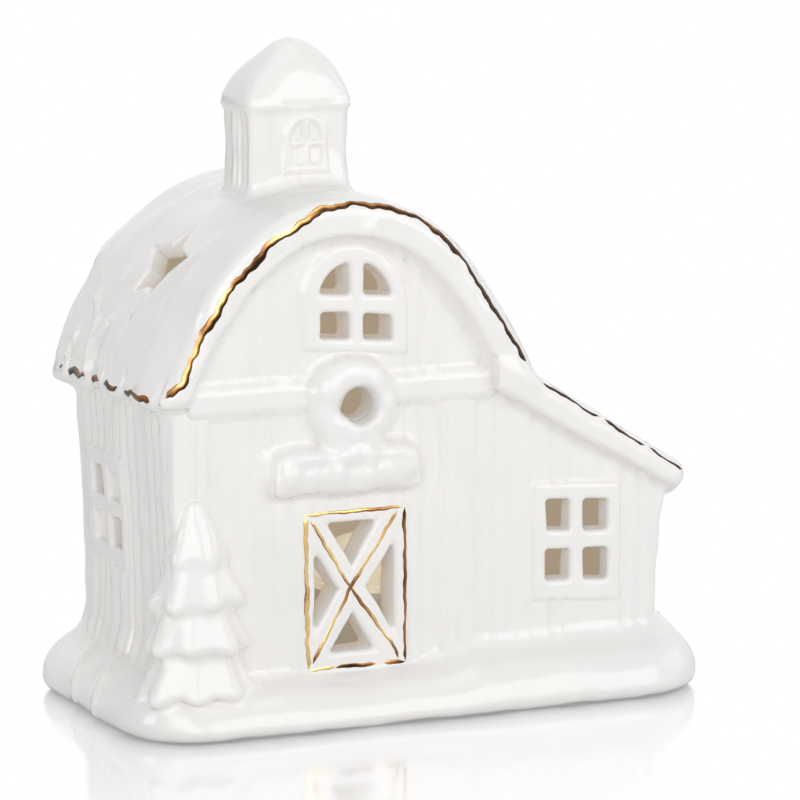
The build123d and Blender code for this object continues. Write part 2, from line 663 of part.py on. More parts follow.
def pine_tree():
    """Tiered tree wrapped round the front left corner, its foot on the snow."""
    step = TREE_HEIGHT / (TREE_TIERS + TREE_TIP)
    points = [(0, SNOW_TOP), (TREE_FOOT, SNOW_TOP)]
    for tier in range(TREE_TIERS):
        radius = TREE_RADIUS * (1 - TREE_TAPER * tier / (TREE_TIERS - 1))
        points.append((radius, SNOW_TOP + (tier + TREE_SKIRT) * step))
        if tier < TREE_TIERS - 1:
            points.append((radius * TREE_NECK, SNOW_TOP + (tier + 1) * step))
    points += [(TREE_TOP, SNOW_TOP + TREE_HEIGHT), (0, SNOW_TOP + TREE_HEIGHT)]
    tree = revolve(Plane.XZ * polygon(*points), Axis.Z)
    tree = Pos(LEFT + TREE_INSET, FRONT - TREE_OUT, 0) * Rot(0, 0, TREE_SEAM) * tree
    house = block(LEFT, RIGHT, FRONT, BACK, 0, RIDGE_Z)
    post = block(LEFT, LEFT + POST_WIDTH, FRONT - POST_PROUD, FRONT, SNOW_TOP, RIDGE_Z)
    return tree - house - post


# Light unit

def bay_block(grow, z0, z1):
    """Battery bay as a box, grown by a wall or a lip."""
    return block(
        BAY_LEFT - grow, BAY_RIGHT + grow, BAY_SHIFT - BAY_HALF - grow, BAY_SHIFT + BAY_HALF + grow, z0, z1
    )


def cover_body(gap):
    """Battery cover's plate with a clearance around it."""
    plate = bay_block(COVER_LIP + gap, UNIT_BOTTOM, COVER_TOP)
    ear = disc(BOSS_RADIUS + COVER_LIP + gap, UNIT_BOTTOM, COVER_TOP, SCREW_X, BAY_SHIFT)
    return plate + ear


def contact_slots():
    """Slots in the bay's roof for the two contacts' tails."""
    half = CONTACT_WIDTH / 2
    near = (BAY_SHIFT - half, BAY_SHIFT + half, BAY_TOP, BOARD_BOTTOM)
    spring = block(BAY_LEFT, BAY_LEFT + CONTACT_THICKNESS, *near)
    return spring + block(STACK_END, BAY_RIGHT, *near)


def light_housing():
    """Drum with a flange, a battery bay, a screw boss and a slot for the switch."""
    drum = disc(HOUSING_RADIUS, UNIT_BOTTOM, HOUSING_TOP)
    drum += disc(HOUSING_RADIUS + FLANGE_WIDTH, UNIT_BOTTOM, FLANGE_TOP)
    shell = drum - disc(HOUSING_INSIDE, UNIT_FLOOR, HOUSING_TOP)
    inner = bay_block(BAY_WALL, UNIT_FLOOR, BOARD_BOTTOM)
    inner += disc(BOSS_RADIUS, UNIT_FLOOR, UNIT_FLOOR + BOSS_HEIGHT, SCREW_X, BAY_SHIFT)
    shell += inner & disc(HOUSING_INSIDE, UNIT_FLOOR, HOUSING_TOP)
    shell -= bay_block(0, UNIT_BOTTOM, BAY_TOP) + contact_slots()
    shell -= cover_body(FIT_CLEARANCE)
    hole = SCREW_RADIUS + SCREW_CLEARANCE
    shell -= disc(hole, UNIT_BOTTOM, UNIT_FLOOR + BOSS_HEIGHT, SCREW_X, BAY_SHIFT)
    slot_length = KNOB_LENGTH + SWITCH_TRAVEL + 2 * FIT_CLEARANCE
    slot_width = KNOB_WIDTH + 2 * FIT_CLEARANCE
    slot = Box(slot_length, slot_width, 2 * HOUSING_FLOOR + 2 * FLANGE_THICKNESS)
    shell -= Pos(0, SWITCH_SHIFT, UNIT_BOTTOM) * slot
    groove = disc(HOUSING_RADIUS, FLANGE_TOP + SEAL_LIFT, FLANGE_TOP + SEAL_LIFT + SEAL_HEIGHT)
    groove -= disc(HOUSING_RADIUS - SEAL_SINK, FLANGE_TOP, HOUSING_TOP)
    return shell - groove


def sealing_ring():
    """Soft ring in the drum's groove that grips the hole in the floor."""
    bottom = FLANGE_TOP + SEAL_LIFT
    ring = disc(HOLE_RADIUS - SEAL_CLEARANCE, bottom, bottom + SEAL_HEIGHT)
    return ring - disc(HOUSING_RADIUS - SEAL_SINK, bottom, bottom + SEAL_HEIGHT)


def battery_cells():
    """Button cells in a row along the bay."""
    cells = Part()
    for index in range(CELL_COUNT):
        middle = -STACK_END + CELL_LENGTH / 2 + index * (CELL_LENGTH + CELL_GAP)
        cells += Pos(middle, BAY_SHIFT, CELL_Z) * Rot(0, 90, 0) * Cylinder(CELL_RADIUS, CELL_LENGTH)
    return cells


def spring_contact():
    """Bent leaf that presses on the left cell, with a tail up to the board."""
    half = CONTACT_WIDTH / 2
    back = BAY_LEFT + CONTACT_THICKNESS
    foot = CELL_Z - CELL_RADIUS / 2
    head = CELL_Z + CELL_RADIUS / 2
    land = CONTACT_THICKNESS
    tail = block(BAY_LEFT, back, BAY_SHIFT - half, BAY_SHIFT + half, foot, BOARD_BOTTOM)
    leaf = polygon(
        (back, foot),
        (-STACK_END, CELL_Z - land),
        (-STACK_END, CELL_Z + land),
        (back + 2 * land, head),
        (back + land, head - land),
        (-STACK_END - land, CELL_Z),
        (back, foot + 2 * land),
    )
    return tail + slab(leaf, BAY_SHIFT - half, BAY_SHIFT + half)


def plate_contact():
    """Flat plate at the right end of the cells, with a tail up to the board."""
    half = CONTACT_WIDTH / 2
    foot = CELL_Z - CELL_RADIUS / 2
    return block(STACK_END, BAY_RIGHT, BAY_SHIFT - half, BAY_SHIFT + half, foot, BOARD_BOTTOM)


def circuit_board():
    """Round board on top of the battery bay."""
    return disc(HOUSING_INSIDE - FIT_CLEARANCE, BOARD_BOTTOM, BOARD_TOP)


def led_bulb():
    """Round-headed lamp with a collar, standing on the board."""
    collar = disc(LED_RADIUS + LED_COLLAR, BOARD_TOP, BOARD_TOP + 2 * LED_COLLAR)
    head = BOARD_TOP + LED_LENGTH
    return collar + disc(LED_RADIUS, BOARD_TOP, head) + Pos(0, 0, head) * Sphere(LED_RADIUS)


def dome_shell(radius, rise):
    """Cap of a sphere that stands on the rim."""
    ball = (radius**2 + rise**2) / (2 * rise)
    foot = HOUSING_TOP + DOME_RIM
    room = block(-radius, radius, -radius, radius, foot, foot + rise)
    return Pos(0, 0, foot + rise - ball) * Sphere(ball) & room


def lamp_dome():
    """Clear dome with a rim on the drum's edge and a skirt inside it."""
    foot = HOUSING_TOP + DOME_RIM
    skirt = HOUSING_INSIDE - FIT_CLEARANCE
    dome = disc(HOUSING_RADIUS, HOUSING_TOP, foot) + dome_shell(HOUSING_INSIDE, DOME_RISE)
    dome += disc(skirt, HOUSING_TOP - DOME_SKIRT, HOUSING_TOP)
    dome -= disc(skirt - DOME_WALL, HOUSING_TOP - DOME_SKIRT, foot)
    return dome - dome_shell(skirt - DOME_WALL, DOME_RISE - DOME_WALL)


def battery_cover():
    """Lid of the battery bay with a sunk screw hole."""
    cover = cover_body(0)
    cover -= disc(SCREW_RADIUS + SCREW_CLEARANCE, UNIT_BOTTOM, COVER_TOP, SCREW_X, BAY_SHIFT)
    return cover - disc(SCREW_HEAD_RADIUS + FIT_CLEARANCE, UNIT_BOTTOM, HEAD_TOP, SCREW_X, BAY_SHIFT)


def cover_screw():
    """Screw with a crossed slot, its head sunk in the cover."""
    screw = disc(SCREW_HEAD_RADIUS, UNIT_BOTTOM, HEAD_TOP, SCREW_X, BAY_SHIFT)
    screw += disc(SCREW_RADIUS, HEAD_TOP, HEAD_TOP + SCREW_LENGTH, SCREW_X, BAY_SHIFT)
    cross = Box(SCREW_SLOT_LENGTH, SCREW_SLOT, SCREW_HEAD) + Box(SCREW_SLOT, SCREW_SLOT_LENGTH, SCREW_HEAD)
    return screw - Pos(SCREW_X, BAY_SHIFT, UNIT_BOTTOM) * cross


def switch_body():
    """Slide switch on the drum's floor, hollow for its slider."""
    half_length = SWITCH_LENGTH / 2
    half_width = SWITCH_WIDTH / 2
    near, far = SWITCH_SHIFT - half_width, SWITCH_SHIFT + half_width
    body = block(-half_length, half_length, near, far, UNIT_FLOOR, UNIT_FLOOR + SWITCH_HEIGHT)
    room = Box(SWITCH_ROOM, SLIDER_WIDTH + 2 * FIT_CLEARANCE, 2 * (SLIDER_HEIGHT + 2 * FIT_CLEARANCE))
    return body - Pos(0, SWITCH_SHIFT, UNIT_FLOOR) * room


def switch_knob():
    """Knob at its off end: a slider in the switch and a stem through the floor."""
    middle = -SWITCH_TRAVEL / 2
    bottom = UNIT_BOTTOM - KNOB_PROUD
    slider_foot = UNIT_FLOOR + FIT_CLEARANCE
    stem_height = slider_foot - bottom
    stem = Pos(middle, SWITCH_SHIFT, bottom + stem_height / 2) * Box(KNOB_LENGTH, KNOB_WIDTH, stem_height)
    slider = Box(SLIDER_LENGTH, SLIDER_WIDTH, SLIDER_HEIGHT)
    return stem + Pos(middle, SWITCH_SHIFT, slider_foot + SLIDER_HEIGHT / 2) * slider


PIECES = [
    snow_base,
    foot_pads,
    front_wall,
    back_wall,
    left_wall,
    right_wall,
    main_roof,
    lean_to_roof,
    cupola_tower,
    cupola_cap,
    cupola_window,
    gable_beam,
    corner_posts,
    gable_window,
    lean_to_window,
    side_window,
    barn_door,
    door_gilding,
    roof_gilding,
    wreath,
    snow_ledge,
    wreath_bow,
    pine_tree,
    light_housing,
    sealing_ring,
    battery_cells,
    spring_contact,
    plate_contact,
    circuit_board,
    led_bulb,
    lamp_dome,
    battery_cover,
    cover_screw,
    switch_body,
    switch_knob,
]

os.makedirs("parts", exist_ok=True)
for piece in PIECES:
    export_step(piece(), f"parts/{piece.__name__}.step")
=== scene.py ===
import logging
import math
from concurrent.futures import ThreadPoolExecutor
from dataclasses import dataclass, field
from enum import Enum
from functools import reduce
from typing import Callable, Sequence

import bpy
import numpy as np
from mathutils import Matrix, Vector


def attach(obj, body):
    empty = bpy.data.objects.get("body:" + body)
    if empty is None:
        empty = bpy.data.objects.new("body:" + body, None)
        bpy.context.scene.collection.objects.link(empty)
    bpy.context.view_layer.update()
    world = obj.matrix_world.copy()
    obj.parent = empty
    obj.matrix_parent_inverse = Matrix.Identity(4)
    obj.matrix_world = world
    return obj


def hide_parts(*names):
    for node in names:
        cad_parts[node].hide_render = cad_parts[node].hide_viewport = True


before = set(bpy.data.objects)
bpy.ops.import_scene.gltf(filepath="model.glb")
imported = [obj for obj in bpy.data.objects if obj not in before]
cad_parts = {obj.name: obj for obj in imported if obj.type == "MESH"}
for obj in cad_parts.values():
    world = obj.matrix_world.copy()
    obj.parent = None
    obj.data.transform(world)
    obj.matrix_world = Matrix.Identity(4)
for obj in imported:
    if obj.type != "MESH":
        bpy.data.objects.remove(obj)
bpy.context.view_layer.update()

log = logging.getLogger("village_barn")

Array = np.ndarray
Points = Sequence[Array]
Shape = Callable[[Points], Array]
Pair = tuple[float, float]
Triple = tuple[float, float, float]
Colour = tuple[float, float, float, float]
Rows = tuple[tuple[float, ...], ...]
MM = 0.001


# Distance fields: millimetres, negative inside. Points are three arrays, of x, y and z.


def ramp(low: float, high: float, value: Array) -> Array:
    """Smooth step from 0 at low to 1 at high: 3t^2 - 2t^3 of the share t of the way.

    Args:
        low: Value where the step starts.
        high: Value where the step ends.
        value: Numbers to step.
    Returns:
        Share of the step, from 0 to 1.
    """
    t = np.clip((value - low) / (high - low), 0.0, 1.0)
    return t * t * (3.0 - 2.0 * t)


def hill(value: Array, middle: float, width: float) -> Array:
    """Bell curve: e to the minus square of the distance from the middle over the width."""
    return np.exp(-(((value - middle) / width) ** 2))


def swell(value: Array, row: Triple) -> Array:
    """Bell curve with a height, a middle and a width."""
    return row[0] * hill(value, *row[1:])


def all_of(*fields: Array) -> Array:
    """Solid that the fields share: their greatest value."""
    return reduce(np.maximum, fields)


def any_of(*fields: Array) -> Array:
    """Solid that the fields make together: their least value."""
    return reduce(np.minimum, fields)


def join(a: Array, b: Array, reach: float) -> Array:
    """Union with a glaze fillet: the lower field, less a parabola where the two are close.

    Args:
        a: First field.
        b: Second field.
        reach: How far the fillet runs from the crease.
    Returns:
        The joined field.
    """
    near = np.maximum(reach - np.abs(a - b), 0.0)
    return np.minimum(a, b) - near * near / (4.0 * reach)


def meet(a: Array, b: Array, reach: float) -> Array:
    """Intersection with a soft edge, the mirror image of join."""
    return -join(-a, -b, reach)


def round_meet(a: Array, b: Array, radius: float) -> Array:
    """Intersection of two square faces with a quarter-round edge.

    Args:
        a: First face's distance.
        b: Second face's distance.
        radius: Radius of the edge.
    Returns:
        Distance to the rounded corner.
    """
    p = a + radius
    q = b + radius
    flat = np.minimum(np.maximum(p, q), 0.0)
    return flat + np.hypot(np.maximum(p, 0.0), np.maximum(q, 0.0)) - radius


def apron(piece: Array, *hosts: tuple[Array, float]) -> Array:
    """Piece with a fillet on to each host, ending just under the host's skin.

    Args:
        piece: Piece's field.
        hosts: Field of each thing that it stands on, and how far the fillet runs.
    Returns:
        Field of the piece with its fillets.
    """
    under, spread = 0.05, 1.3
    skirts = [all_of(join(piece, host + under, reach), piece - spread * reach) for host, reach in hosts]
    return any_of(*skirts)


def span(value: Array, low: float, high: float) -> Array:
    """Distance outside the band from low to high."""
    return np.maximum(low - value, value - high)


def panel(u: Array, z: Array, half: float, low: float, high: float, radius: float) -> Array:
    """Upright rectangle with round corners in a wall's plane: two bands that meet.

    Args:
        u: Distance from the rectangle's middle.
        z: Height.
        half: Half width.
        low: Bottom.
        high: Top.
        radius: Radius of the corners.
    Returns:
        Signed distance.
    """
    return round_meet(span(u, -half, half), span(z, low, high), radius)


def pebble(p: Points, middle: Triple, radii: Triple) -> Array:
    """Ellipsoid's rough distance: scaled radius less one, times the smallest half axis.

    Args:
        p: Points.
        middle: Centre.
        radii: Half axes.
    Returns:
        The field.
    """
    a, b, c = ((axis - centre) / radius for axis, centre, radius in zip(p, middle, radii))
    return (np.sqrt(a * a + b * b + c * c) - 1.0) * min(radii)


def limb(u: Array, v: Array, start: Sequence[float], end: Sequence[float]) -> Array:
    """Distance in a plane to the nearest point of a straight segment.

    Args:
        u: First coordinate of the points.
        v: Second coordinate of the points.
        start: Segment's first end.
        end: Segment's other end.
    Returns:
        The distance.
    """
    du, dv = end[0] - start[0], end[1] - start[1]
    share = ((u - start[0]) * du + (v - start[1]) * dv) / (du * du + dv * dv)
    share = np.clip(share, 0.0, 1.0)
    return np.hypot(u - start[0] - share * du, v - start[1] - share * dv)


def ridge(u: Array, v: Array, row: Sequence[float], gain: float = 1.0) -> Array:
    """Soft ridge along a segment: height times a bell curve of the distance over the width.

    Args:
        u: First coordinate of the points.
        v: Second coordinate of the points.
        row: Two ends, width and height.
        gain: Times the height.
    Returns:
        Height of the ridge.
    """
    width, height = row[4:]
    return gain * height * hill(limb(u, v, row[:2], row[2:4]), 0.0, width)


WAVES: Rows = (
    (0.09, 0.31, 0.17, 0.23, 0.4),
    (0.07, -0.19, 0.41, 0.12, 1.3),
    (0.06, 0.13, -0.22, 0.52, 2.1),
    (0.035, 0.7, 0.5, -0.6, 0.0),
)


def ripple(p: Points) -> Array:
    """Slow unevenness of slip-cast porcelain: a sum of waves, each with a height, a way and a phase."""
    x, y, z = p
    return sum(height * np.sin(a * x + b * y + c * z + phase) for height, a, b, c, phase in WAVES)


def boards(along: Array, z: Array, pitch: float, start: float, cut: float) -> Array:
    """Relief of upright boards: each is a little round and has its own level.

    A cosine gives the round, a bell curve the groove between two boards, and sines of the board's
    number its level and the groove's depth.

    Args:
        along: Distance along the wall.
        z: Height, which sways the grooves a little.
        pitch: Mean board width.
        start: Where a groove lies.
        cut: Strength of the grooves.
    Returns:
        Outward relief, negative in a groove.
    """
    sway = 0.7 * np.sin(0.33 * along + 1.0) + 0.14 * np.sin(0.10 * z + 0.7 * along)
    t = (along + sway - start) / pitch
    line = np.round(t)
    gap = (t - line) * pitch
    crown = -np.cos(2.0 * math.pi * t)
    groove = (0.22 + 0.13 * np.sin(4.7 * line + 0.6)) * hill(gap, 0.0, 0.7)
    level = 0.13 * np.sin(5.3 * np.floor(t) + 0.7) * (1.0 - hill(gap, 0.0, 0.9))
    return level + 0.11 * crown - cut * groove


@dataclass(frozen=True)
class Plan:
    """Main sizes of the barn, shared by every piece."""

    left: float = -61.0
    right: float = 61.0
    front: float = -28.5
    back: float = 28.5
    wall: float = 5.0
    barn_x: float = -19.5
    foot: float = 1.0
    floor: float = 7.0
    snow: float = 11.3
    base_half_x: float = 71.7
    base_half_y: float = 40.7
    base_corner: float = 20.0
    eave: float = 76.5
    eave_half: float = 46.5
    knee_half: float = 26.0
    knee: float = 108.0
    ridge: float = 118.3
    thick: float = 5.5
    verge: float = 33.5
    verge_thick: float = 9.0
    lean_start_x: float = 10.0
    lean_top_x: float = 27.0
    lean_tip_x: float = 66.5
    lean_tip_z: float = 51.5
    trim_x: float = -16.2
    well_half_x: float = 7.2
    well_half_y: float = 4.0

    @property
    def crown_radius(self) -> float:
        """Radius of the arc over the ridge."""
        rise = self.ridge - self.knee
        return (self.knee_half**2 + rise**2) / (2.0 * rise)

    @property
    def knee_lean(self) -> float:
        """Angle of the knee's normal from upright."""
        return math.asin(self.knee_half / self.crown_radius)

    @property
    def side_radius(self) -> float:
        """Radius of the arc from the knee down to the eave, smooth with the crown.

        Returns:
            Half the square of the chord over its sag.
        """
        run = self.eave_half - self.knee_half
        drop = self.knee - self.eave
        sag = drop * math.cos(self.knee_lean) - run * math.sin(self.knee_lean)
        return (run**2 + drop**2) / (2.0 * sag)

    @property
    def side_middle(self) -> Pair:
        """Middle of the side arc, across from the ridge and up."""
        lean, radius = self.knee_lean, self.side_radius
        return self.knee_half - radius * math.sin(lean), self.knee - radius * math.cos(lean)

    def arch(self, x: Array, z: Array) -> Array:
        """Distance outside the main roof's top line: the crown's circle or a side circle.

        Args:
            x: Points across.
            z: Points up.
        Returns:
            Signed distance, negative under the roof.
        """
        u = np.abs(x - self.barn_x)
        lean = self.knee_lean
        crown_z = self.ridge - self.crown_radius
        side_u, side_z = self.side_middle
        past = u * math.cos(lean) - (z - crown_z) * math.sin(lean)
        crown = np.hypot(u, z - crown_z) - self.crown_radius
        side = np.hypot(u - side_u, np.maximum(z - side_z, 0.0)) - self.side_radius
        return np.where(past > 0.0, side, crown)

    @property
    def lean_length(self) -> float:
        """Length of the lean-to's slope."""
        return math.hypot(self.lean_tip_x - self.lean_top_x, self.eave - self.lean_tip_z)

    @property
    def lean_normal(self) -> Pair:
        """Unit normal of the lean-to's slope.

        Returns:
            Its parts across and up.
        """
        run = self.lean_tip_x - self.lean_top_x
        drop = self.eave - self.lean_tip_z
        return drop / self.lean_length, run / self.lean_length

    def lean(self, x: Array, z: Array) -> Array:
        """Distance above the lean-to roof's top line."""
        nx, nz = self.lean_normal
        return (x - self.lean_top_x) * nx + (z - self.eave) * nz

    def lean_along(self, x: Array, z: Array) -> Array:
        """Distance down the lean-to's slope from its root."""
        nx, nz = self.lean_normal
        return (x - self.lean_top_x) * nz - (z - self.eave) * nx

    def cover(self, x: Array, z: Array) -> Array:
        """Front view of everything under the two roofs' top lines."""
        return any_of(self.arch(x, z), all_of(self.lean(x, z), self.lean_start_x - x))

    def hall(self, p: Points) -> Array:
        """Hollow inside the walls and under the roofs.

        Args:
            p: Points.
        Returns:
            Signed distance, negative in the hollow.
        """
        x, y, z = p
        across = span(x, self.left + self.wall, self.right - self.wall)
        deep = span(y, self.front + self.wall, self.back - self.wall)
        return all_of(across, self.floor - z, deep, self.cover(x, z) + self.thick)

    def well(self, x: Array, y: Array) -> Array:
        """Top view of the opening from the hall up into the cupola."""
        return all_of(np.abs(x) - self.well_half_x, np.abs(y) - self.well_half_y)


PLAN = Plan()


# Meshes


def slope(shape: Shape, points: Array) -> tuple[Array, Array]:
    """Uneven field and its gradient, from four samples at the corners of a tetrahedron.

    Args:
        shape: Field of the porcelain.
        points: Places, one a row.
    Returns:
        Field values and gradient rows.
    """
    reach = 0.04
    arms = np.array([(1, -1, -1), (-1, -1, 1), (-1, 1, -1), (1, 1, 1)], float)
    spots = [(points + reach * arm).T for arm in arms]
    samples = [shape(spot) - ripple(spot) for spot in spots]
    gradient = sum(np.multiply.outer(s, arm) for s, arm in zip(samples, arms)) / (4.0 * reach)
    return sum(samples) / 4.0, gradient


def unit(rows: Array) -> Array:
    """Rows scaled to length one."""
    return rows / np.maximum(np.linalg.norm(rows, axis=1), 1e-6)[:, None]


def settle(shape: Shape, points: Array, passes: int, longest: float) -> tuple[Array, Array]:
    """Move points on to a surface by Newton steps: minus value times gradient over its square.

    Args:
        shape: Field of the porcelain.
        points: Starting places, one a row.
        passes: Number of steps.
        longest: Longest step.
    Returns:
        Points on the surface and the surface's normals.
    """
    flattest = 0.05
    for _ in range(passes):
        value, gradient = slope(shape, points)
        square = np.maximum((gradient * gradient).sum(1), flattest)
        move = -(value / square)[:, None] * gradient
        far = np.maximum(np.linalg.norm(move, axis=1) / longest, 1.0)
        points = points + move / far[:, None]
    return points, unit(slope(shape, points)[1])


@dataclass
class Surface:
    """Arrays of one mesh in millimetres."""

    points: Array
    faces: Array
    normals: Array | None = None
    layers: dict[str, Array] = field(default_factory=dict)

    def place(self, name: str) -> bpy.types.Object:
        """Make the Blender object at the origin, with smooth faces.

        Args:
            name: Object's name.
        Returns:
            The object.
        """
        mesh = bpy.data.meshes.new(name)
        count, corners = self.faces.shape
        mesh.vertices.add(len(self.points))
        mesh.vertices.foreach_set("co", (self.points * MM).astype(np.float32).ravel())
        mesh.loops.add(self.faces.size)
        mesh.loops.foreach_set("vertex_index", self.faces.astype(np.int32).ravel())
        mesh.polygons.add(count)
        mesh.polygons.foreach_set("loop_start", np.arange(count, dtype=np.int32) * corners)
        mesh.update(calc_edges=True)
        mesh.polygons.foreach_set("use_smooth", np.ones(count, bool))
        for key, values in self.layers.items():
            layer = mesh.attributes.new(key, "FLOAT", "POINT")
            layer.data.foreach_set("value", values.astype(np.float32))
        if self.normals is not None:
            mesh.normals_split_custom_set_from_vertices(self.normals.astype(np.float32))
        thing = bpy.data.objects.new(name, mesh)
        bpy.context.scene.collection.objects.link(thing)
        return thing


CORNERS = np.array([(i, j, k) for i in (0, 1) for j in (0, 1) for k in (0, 1)])
EDGES = np.array([(i, i | bit) for bit in (1, 2, 4) for i in range(8) if not i & bit])


@dataclass
class Casting:
    """One porcelain piece: a field, the box around it and the grid that finds its surface."""

    name: str
    shape: Shape
    low: Triple
    high: Triple
    step: float
    coarse: float = 1.6
    margin: float = 1.6
    passes: int = 3
    # Distances from the hall where glazed white turns to bare clay; the same ramp paints shade into the
    # reveals and the hollow.
    glazed_unshaded: float = 3.2
    bare_and_shaded: float = -2.0

    def sample(self, axes: Points) -> Array:
        """Uneven field on the grid, its outermost layers kept outside so that the mesh closes.

        Args:
            axes: Grid lines across, in depth and up.
        Returns:
            Values of the field.
        """
        x, y, z = (axis.astype(np.float32) for axis in axes)
        p = (x[:, None, None], y[None, :, None], z[None, None, :])
        value = np.broadcast_to(self.shape(p) - ripple(p), (len(x), len(y), len(z)))
        value = np.array(value, np.float32)
        outside = 1e-3
        for axis in range(3):
            edge = np.moveaxis(value, axis, 0)
            for layer in (0, -1):
                edge[layer] = np.maximum(edge[layer], outside)
        return value

    def solve(self) -> Surface:
        """Surface net: one vertex in each grid cell that the surface crosses, then moved on to it.

        A cell's vertex starts at the mean of the points where the field changes sign along the
        cell's edges, and Newton steps then settle it.

        Returns:
            Points, quads, normals and how bare the clay is, which also sets the painted shade and glow
            towards the hollow.
        """
        step = self.step * 1.0
        past = self.margin * step
        axes = [np.arange(lo - step, hi + past, step) for lo, hi in zip(self.low, self.high)]
        value = self.sample(axes)
        inside = value < 0.0
        counts = np.zeros(np.array(value.shape) - 1, np.uint8)
        size = counts.shape
        for i, j, k in CORNERS:
            counts += inside[i : i + size[0], j : j + size[1], k : k + size[2]]
        cells = np.argwhere((counts > 0) & (counts < 8))
        index = np.full(size, -1, np.int64)
        index[tuple(cells.T)] = np.arange(len(cells))
        corner = np.stack([value[tuple((cells + c).T)] for c in CORNERS], axis=1)
        first, last = corner[:, EDGES[:, 0]], corner[:, EDGES[:, 1]]
        cross = (first < 0.0) != (last < 0.0)
        share = np.where(cross, first / np.where(cross, first - last, 1.0), 0.0)
        start, end = CORNERS[EDGES[:, 0]], CORNERS[EDGES[:, 1]]
        place = start[None] + share[..., None] * (end - start)[None]
        mean = (place * cross[..., None]).sum(1) / cross.sum(1)[:, None]
        origin = np.array([axis[0] for axis in axes])
        faces = np.concatenate([self.quads(inside, index, axis) for axis in range(3)])
        points, normals = settle(self.shape, origin + (cells + mean) * step, self.passes, 0.5 * step)
        # Bare clay mask, which also paints shade that darkens towards the hollow and a glow there.
        bare_shade_and_glow = ramp(self.glazed_unshaded, self.bare_and_shaded, PLAN.hall(points.T))
        return Surface(points, faces, normals, {"bare_shade_and_glow": bare_shade_and_glow})

    @staticmethod
    def quads(inside: Array, index: Array, axis: int) -> Array:
        """Faces across the grid lines of one direction, turned to face outwards.

        Args:
            inside: Whether each grid point is in the solid.
            index: Vertex of each cell, or -1.
            axis: Direction of the grid lines.
        Returns:
            Rows of four vertices.
        """
        solid = np.moveaxis(inside, axis, 0)
        cell = np.moveaxis(index, axis, 0)
        change = solid[1:, 1:-1, 1:-1] != solid[:-1, 1:-1, 1:-1]
        i, j, k = np.nonzero(change)
        around = ((0, 0), (1, 0), (1, 1), (0, 1))
        four = np.stack([cell[i, j + dj, k + dk] for dj, dk in around], axis=1)
        outward = solid[i, j + 1, k + 1]
        if axis == 1:
            outward = ~outward
        return np.where(outward[:, None], four, four[:, ::-1])


# Finishes


class Shader:
    """A node tree's builder: one method makes any node, and sockets do sums."""

    def __init__(self, owner: bpy.types.Material | bpy.types.World) -> None:
        """Start with an empty node tree.

        Args:
            owner: Material or world that the nodes belong to.
        """
        self.owner = owner
        owner.use_nodes = True
        self.tree = owner.node_tree
        self.tree.nodes.clear()

    def node(self, kind: str, settings: dict | None = None, **inputs: object) -> "Socket":
        """Add a node, set its options, then its inputs.

        Args:
            kind: Node type without the ShaderNode prefix.
            settings: Options set before the inputs.
            inputs: Input names, with _ for a space, or i0, i1 for a numbered input.
        Returns:
            The node's first output, if it has one.
        """
        made = self.tree.nodes.new("ShaderNode" + kind)
        for key, value in (settings or {}).items():
            setattr(made, key, value)
        for key, value in inputs.items():
            numbered = key[0] == "i" and key[1:].isdigit()
            socket = made.inputs[int(key[1:]) if numbered else key.replace("_", " ")]
            if isinstance(value, Socket):
                self.tree.links.new(value.out, socket)
            else:
                socket.default_value = value
        return Socket(self, next(iter(made.outputs), None))

    def math(self, operation: str, a: object, b: object = 0.0) -> "Socket":
        """Result of a math node on sockets or numbers."""
        return self.node("Math", {"operation": operation}, i0=a, i1=b)

    def mix(self, share: object, a: object, b: object) -> "Socket":
        """Blend of two colours, from a where the share is 0 to b where it is 1."""
        return self.node("Mix", {"data_type": "RGBA"}, i0=share, i6=a, i7=b).port(2)

    def noise(self, place: "Socket", scale: float, detail: float = 3.0, rough: float = 0.5) -> "Socket":
        """Noise around 0.5 at a place, with so many waves a metre."""
        return self.node("TexNoise", None, Vector=place, Scale=scale, Detail=detail, Roughness=rough)

    def place(self) -> "Socket":
        """Object coordinates."""
        return self.node("TexCoord").port("Object")

    def layer(self, name: str) -> "Socket":
        """Values of one of the mesh's attributes."""
        return self.node("Attribute", {"attribute_name": name}).port("Fac")

    def ramp(
        self, source: "Socket", low: float, high: float, start: float = 0.0, end: float = 1.0
    ) -> "Socket":
        """Map the range from low to high on to the range from start to end, clamped."""
        return self.node("MapRange", None, i0=source, i1=low, i2=high, i3=start, i4=end)

    def bump(self, height: "Socket", strength: float, distance: float) -> "Socket":
        """Normal from a height that is so many metres at one."""
        return self.node("Bump", None, Strength=strength, Distance=distance, Height=height)

    def surface(self, **inputs: object) -> bpy.types.Material:
        """Finish with one principled surface.

        Args:
            inputs: The surface's inputs.
        Returns:
            The material.
        """
        made = self.node("BsdfPrincipled", None, **inputs)
        self.node("OutputMaterial", None, Surface=made)
        return self.owner


@dataclass
class Socket:
    """A shader output that adds, multiplies and subtracts like a number."""

    shader: Shader
    out: bpy.types.NodeSocket | None

    def port(self, key: str | int) -> "Socket":
        """Another output of the same node."""
        return Socket(self.shader, self.out.node.outputs[key])

    def __add__(self, other: object) -> "Socket":
        """Sum with a socket or number."""
        return self.shader.math("ADD", self, other)

    __radd__ = __add__

    def __mul__(self, other: object) -> "Socket":
        """Product with a socket or number."""
        return self.shader.math("MULTIPLY", self, other)

    __rmul__ = __mul__

    def __sub__(self, other: object) -> "Socket":
        """Difference from a socket or number."""
        return self.shader.math("SUBTRACT", self, other)

    def __rsub__(self, other: object) -> "Socket":
        """Difference of a number and this socket."""
        return self.shader.math("SUBTRACT", other, self)


BLACK: Colour = (0.0, 0.0, 0.0, 1.0)
WHITE: Colour = (1.0, 1.0, 1.0, 1.0)


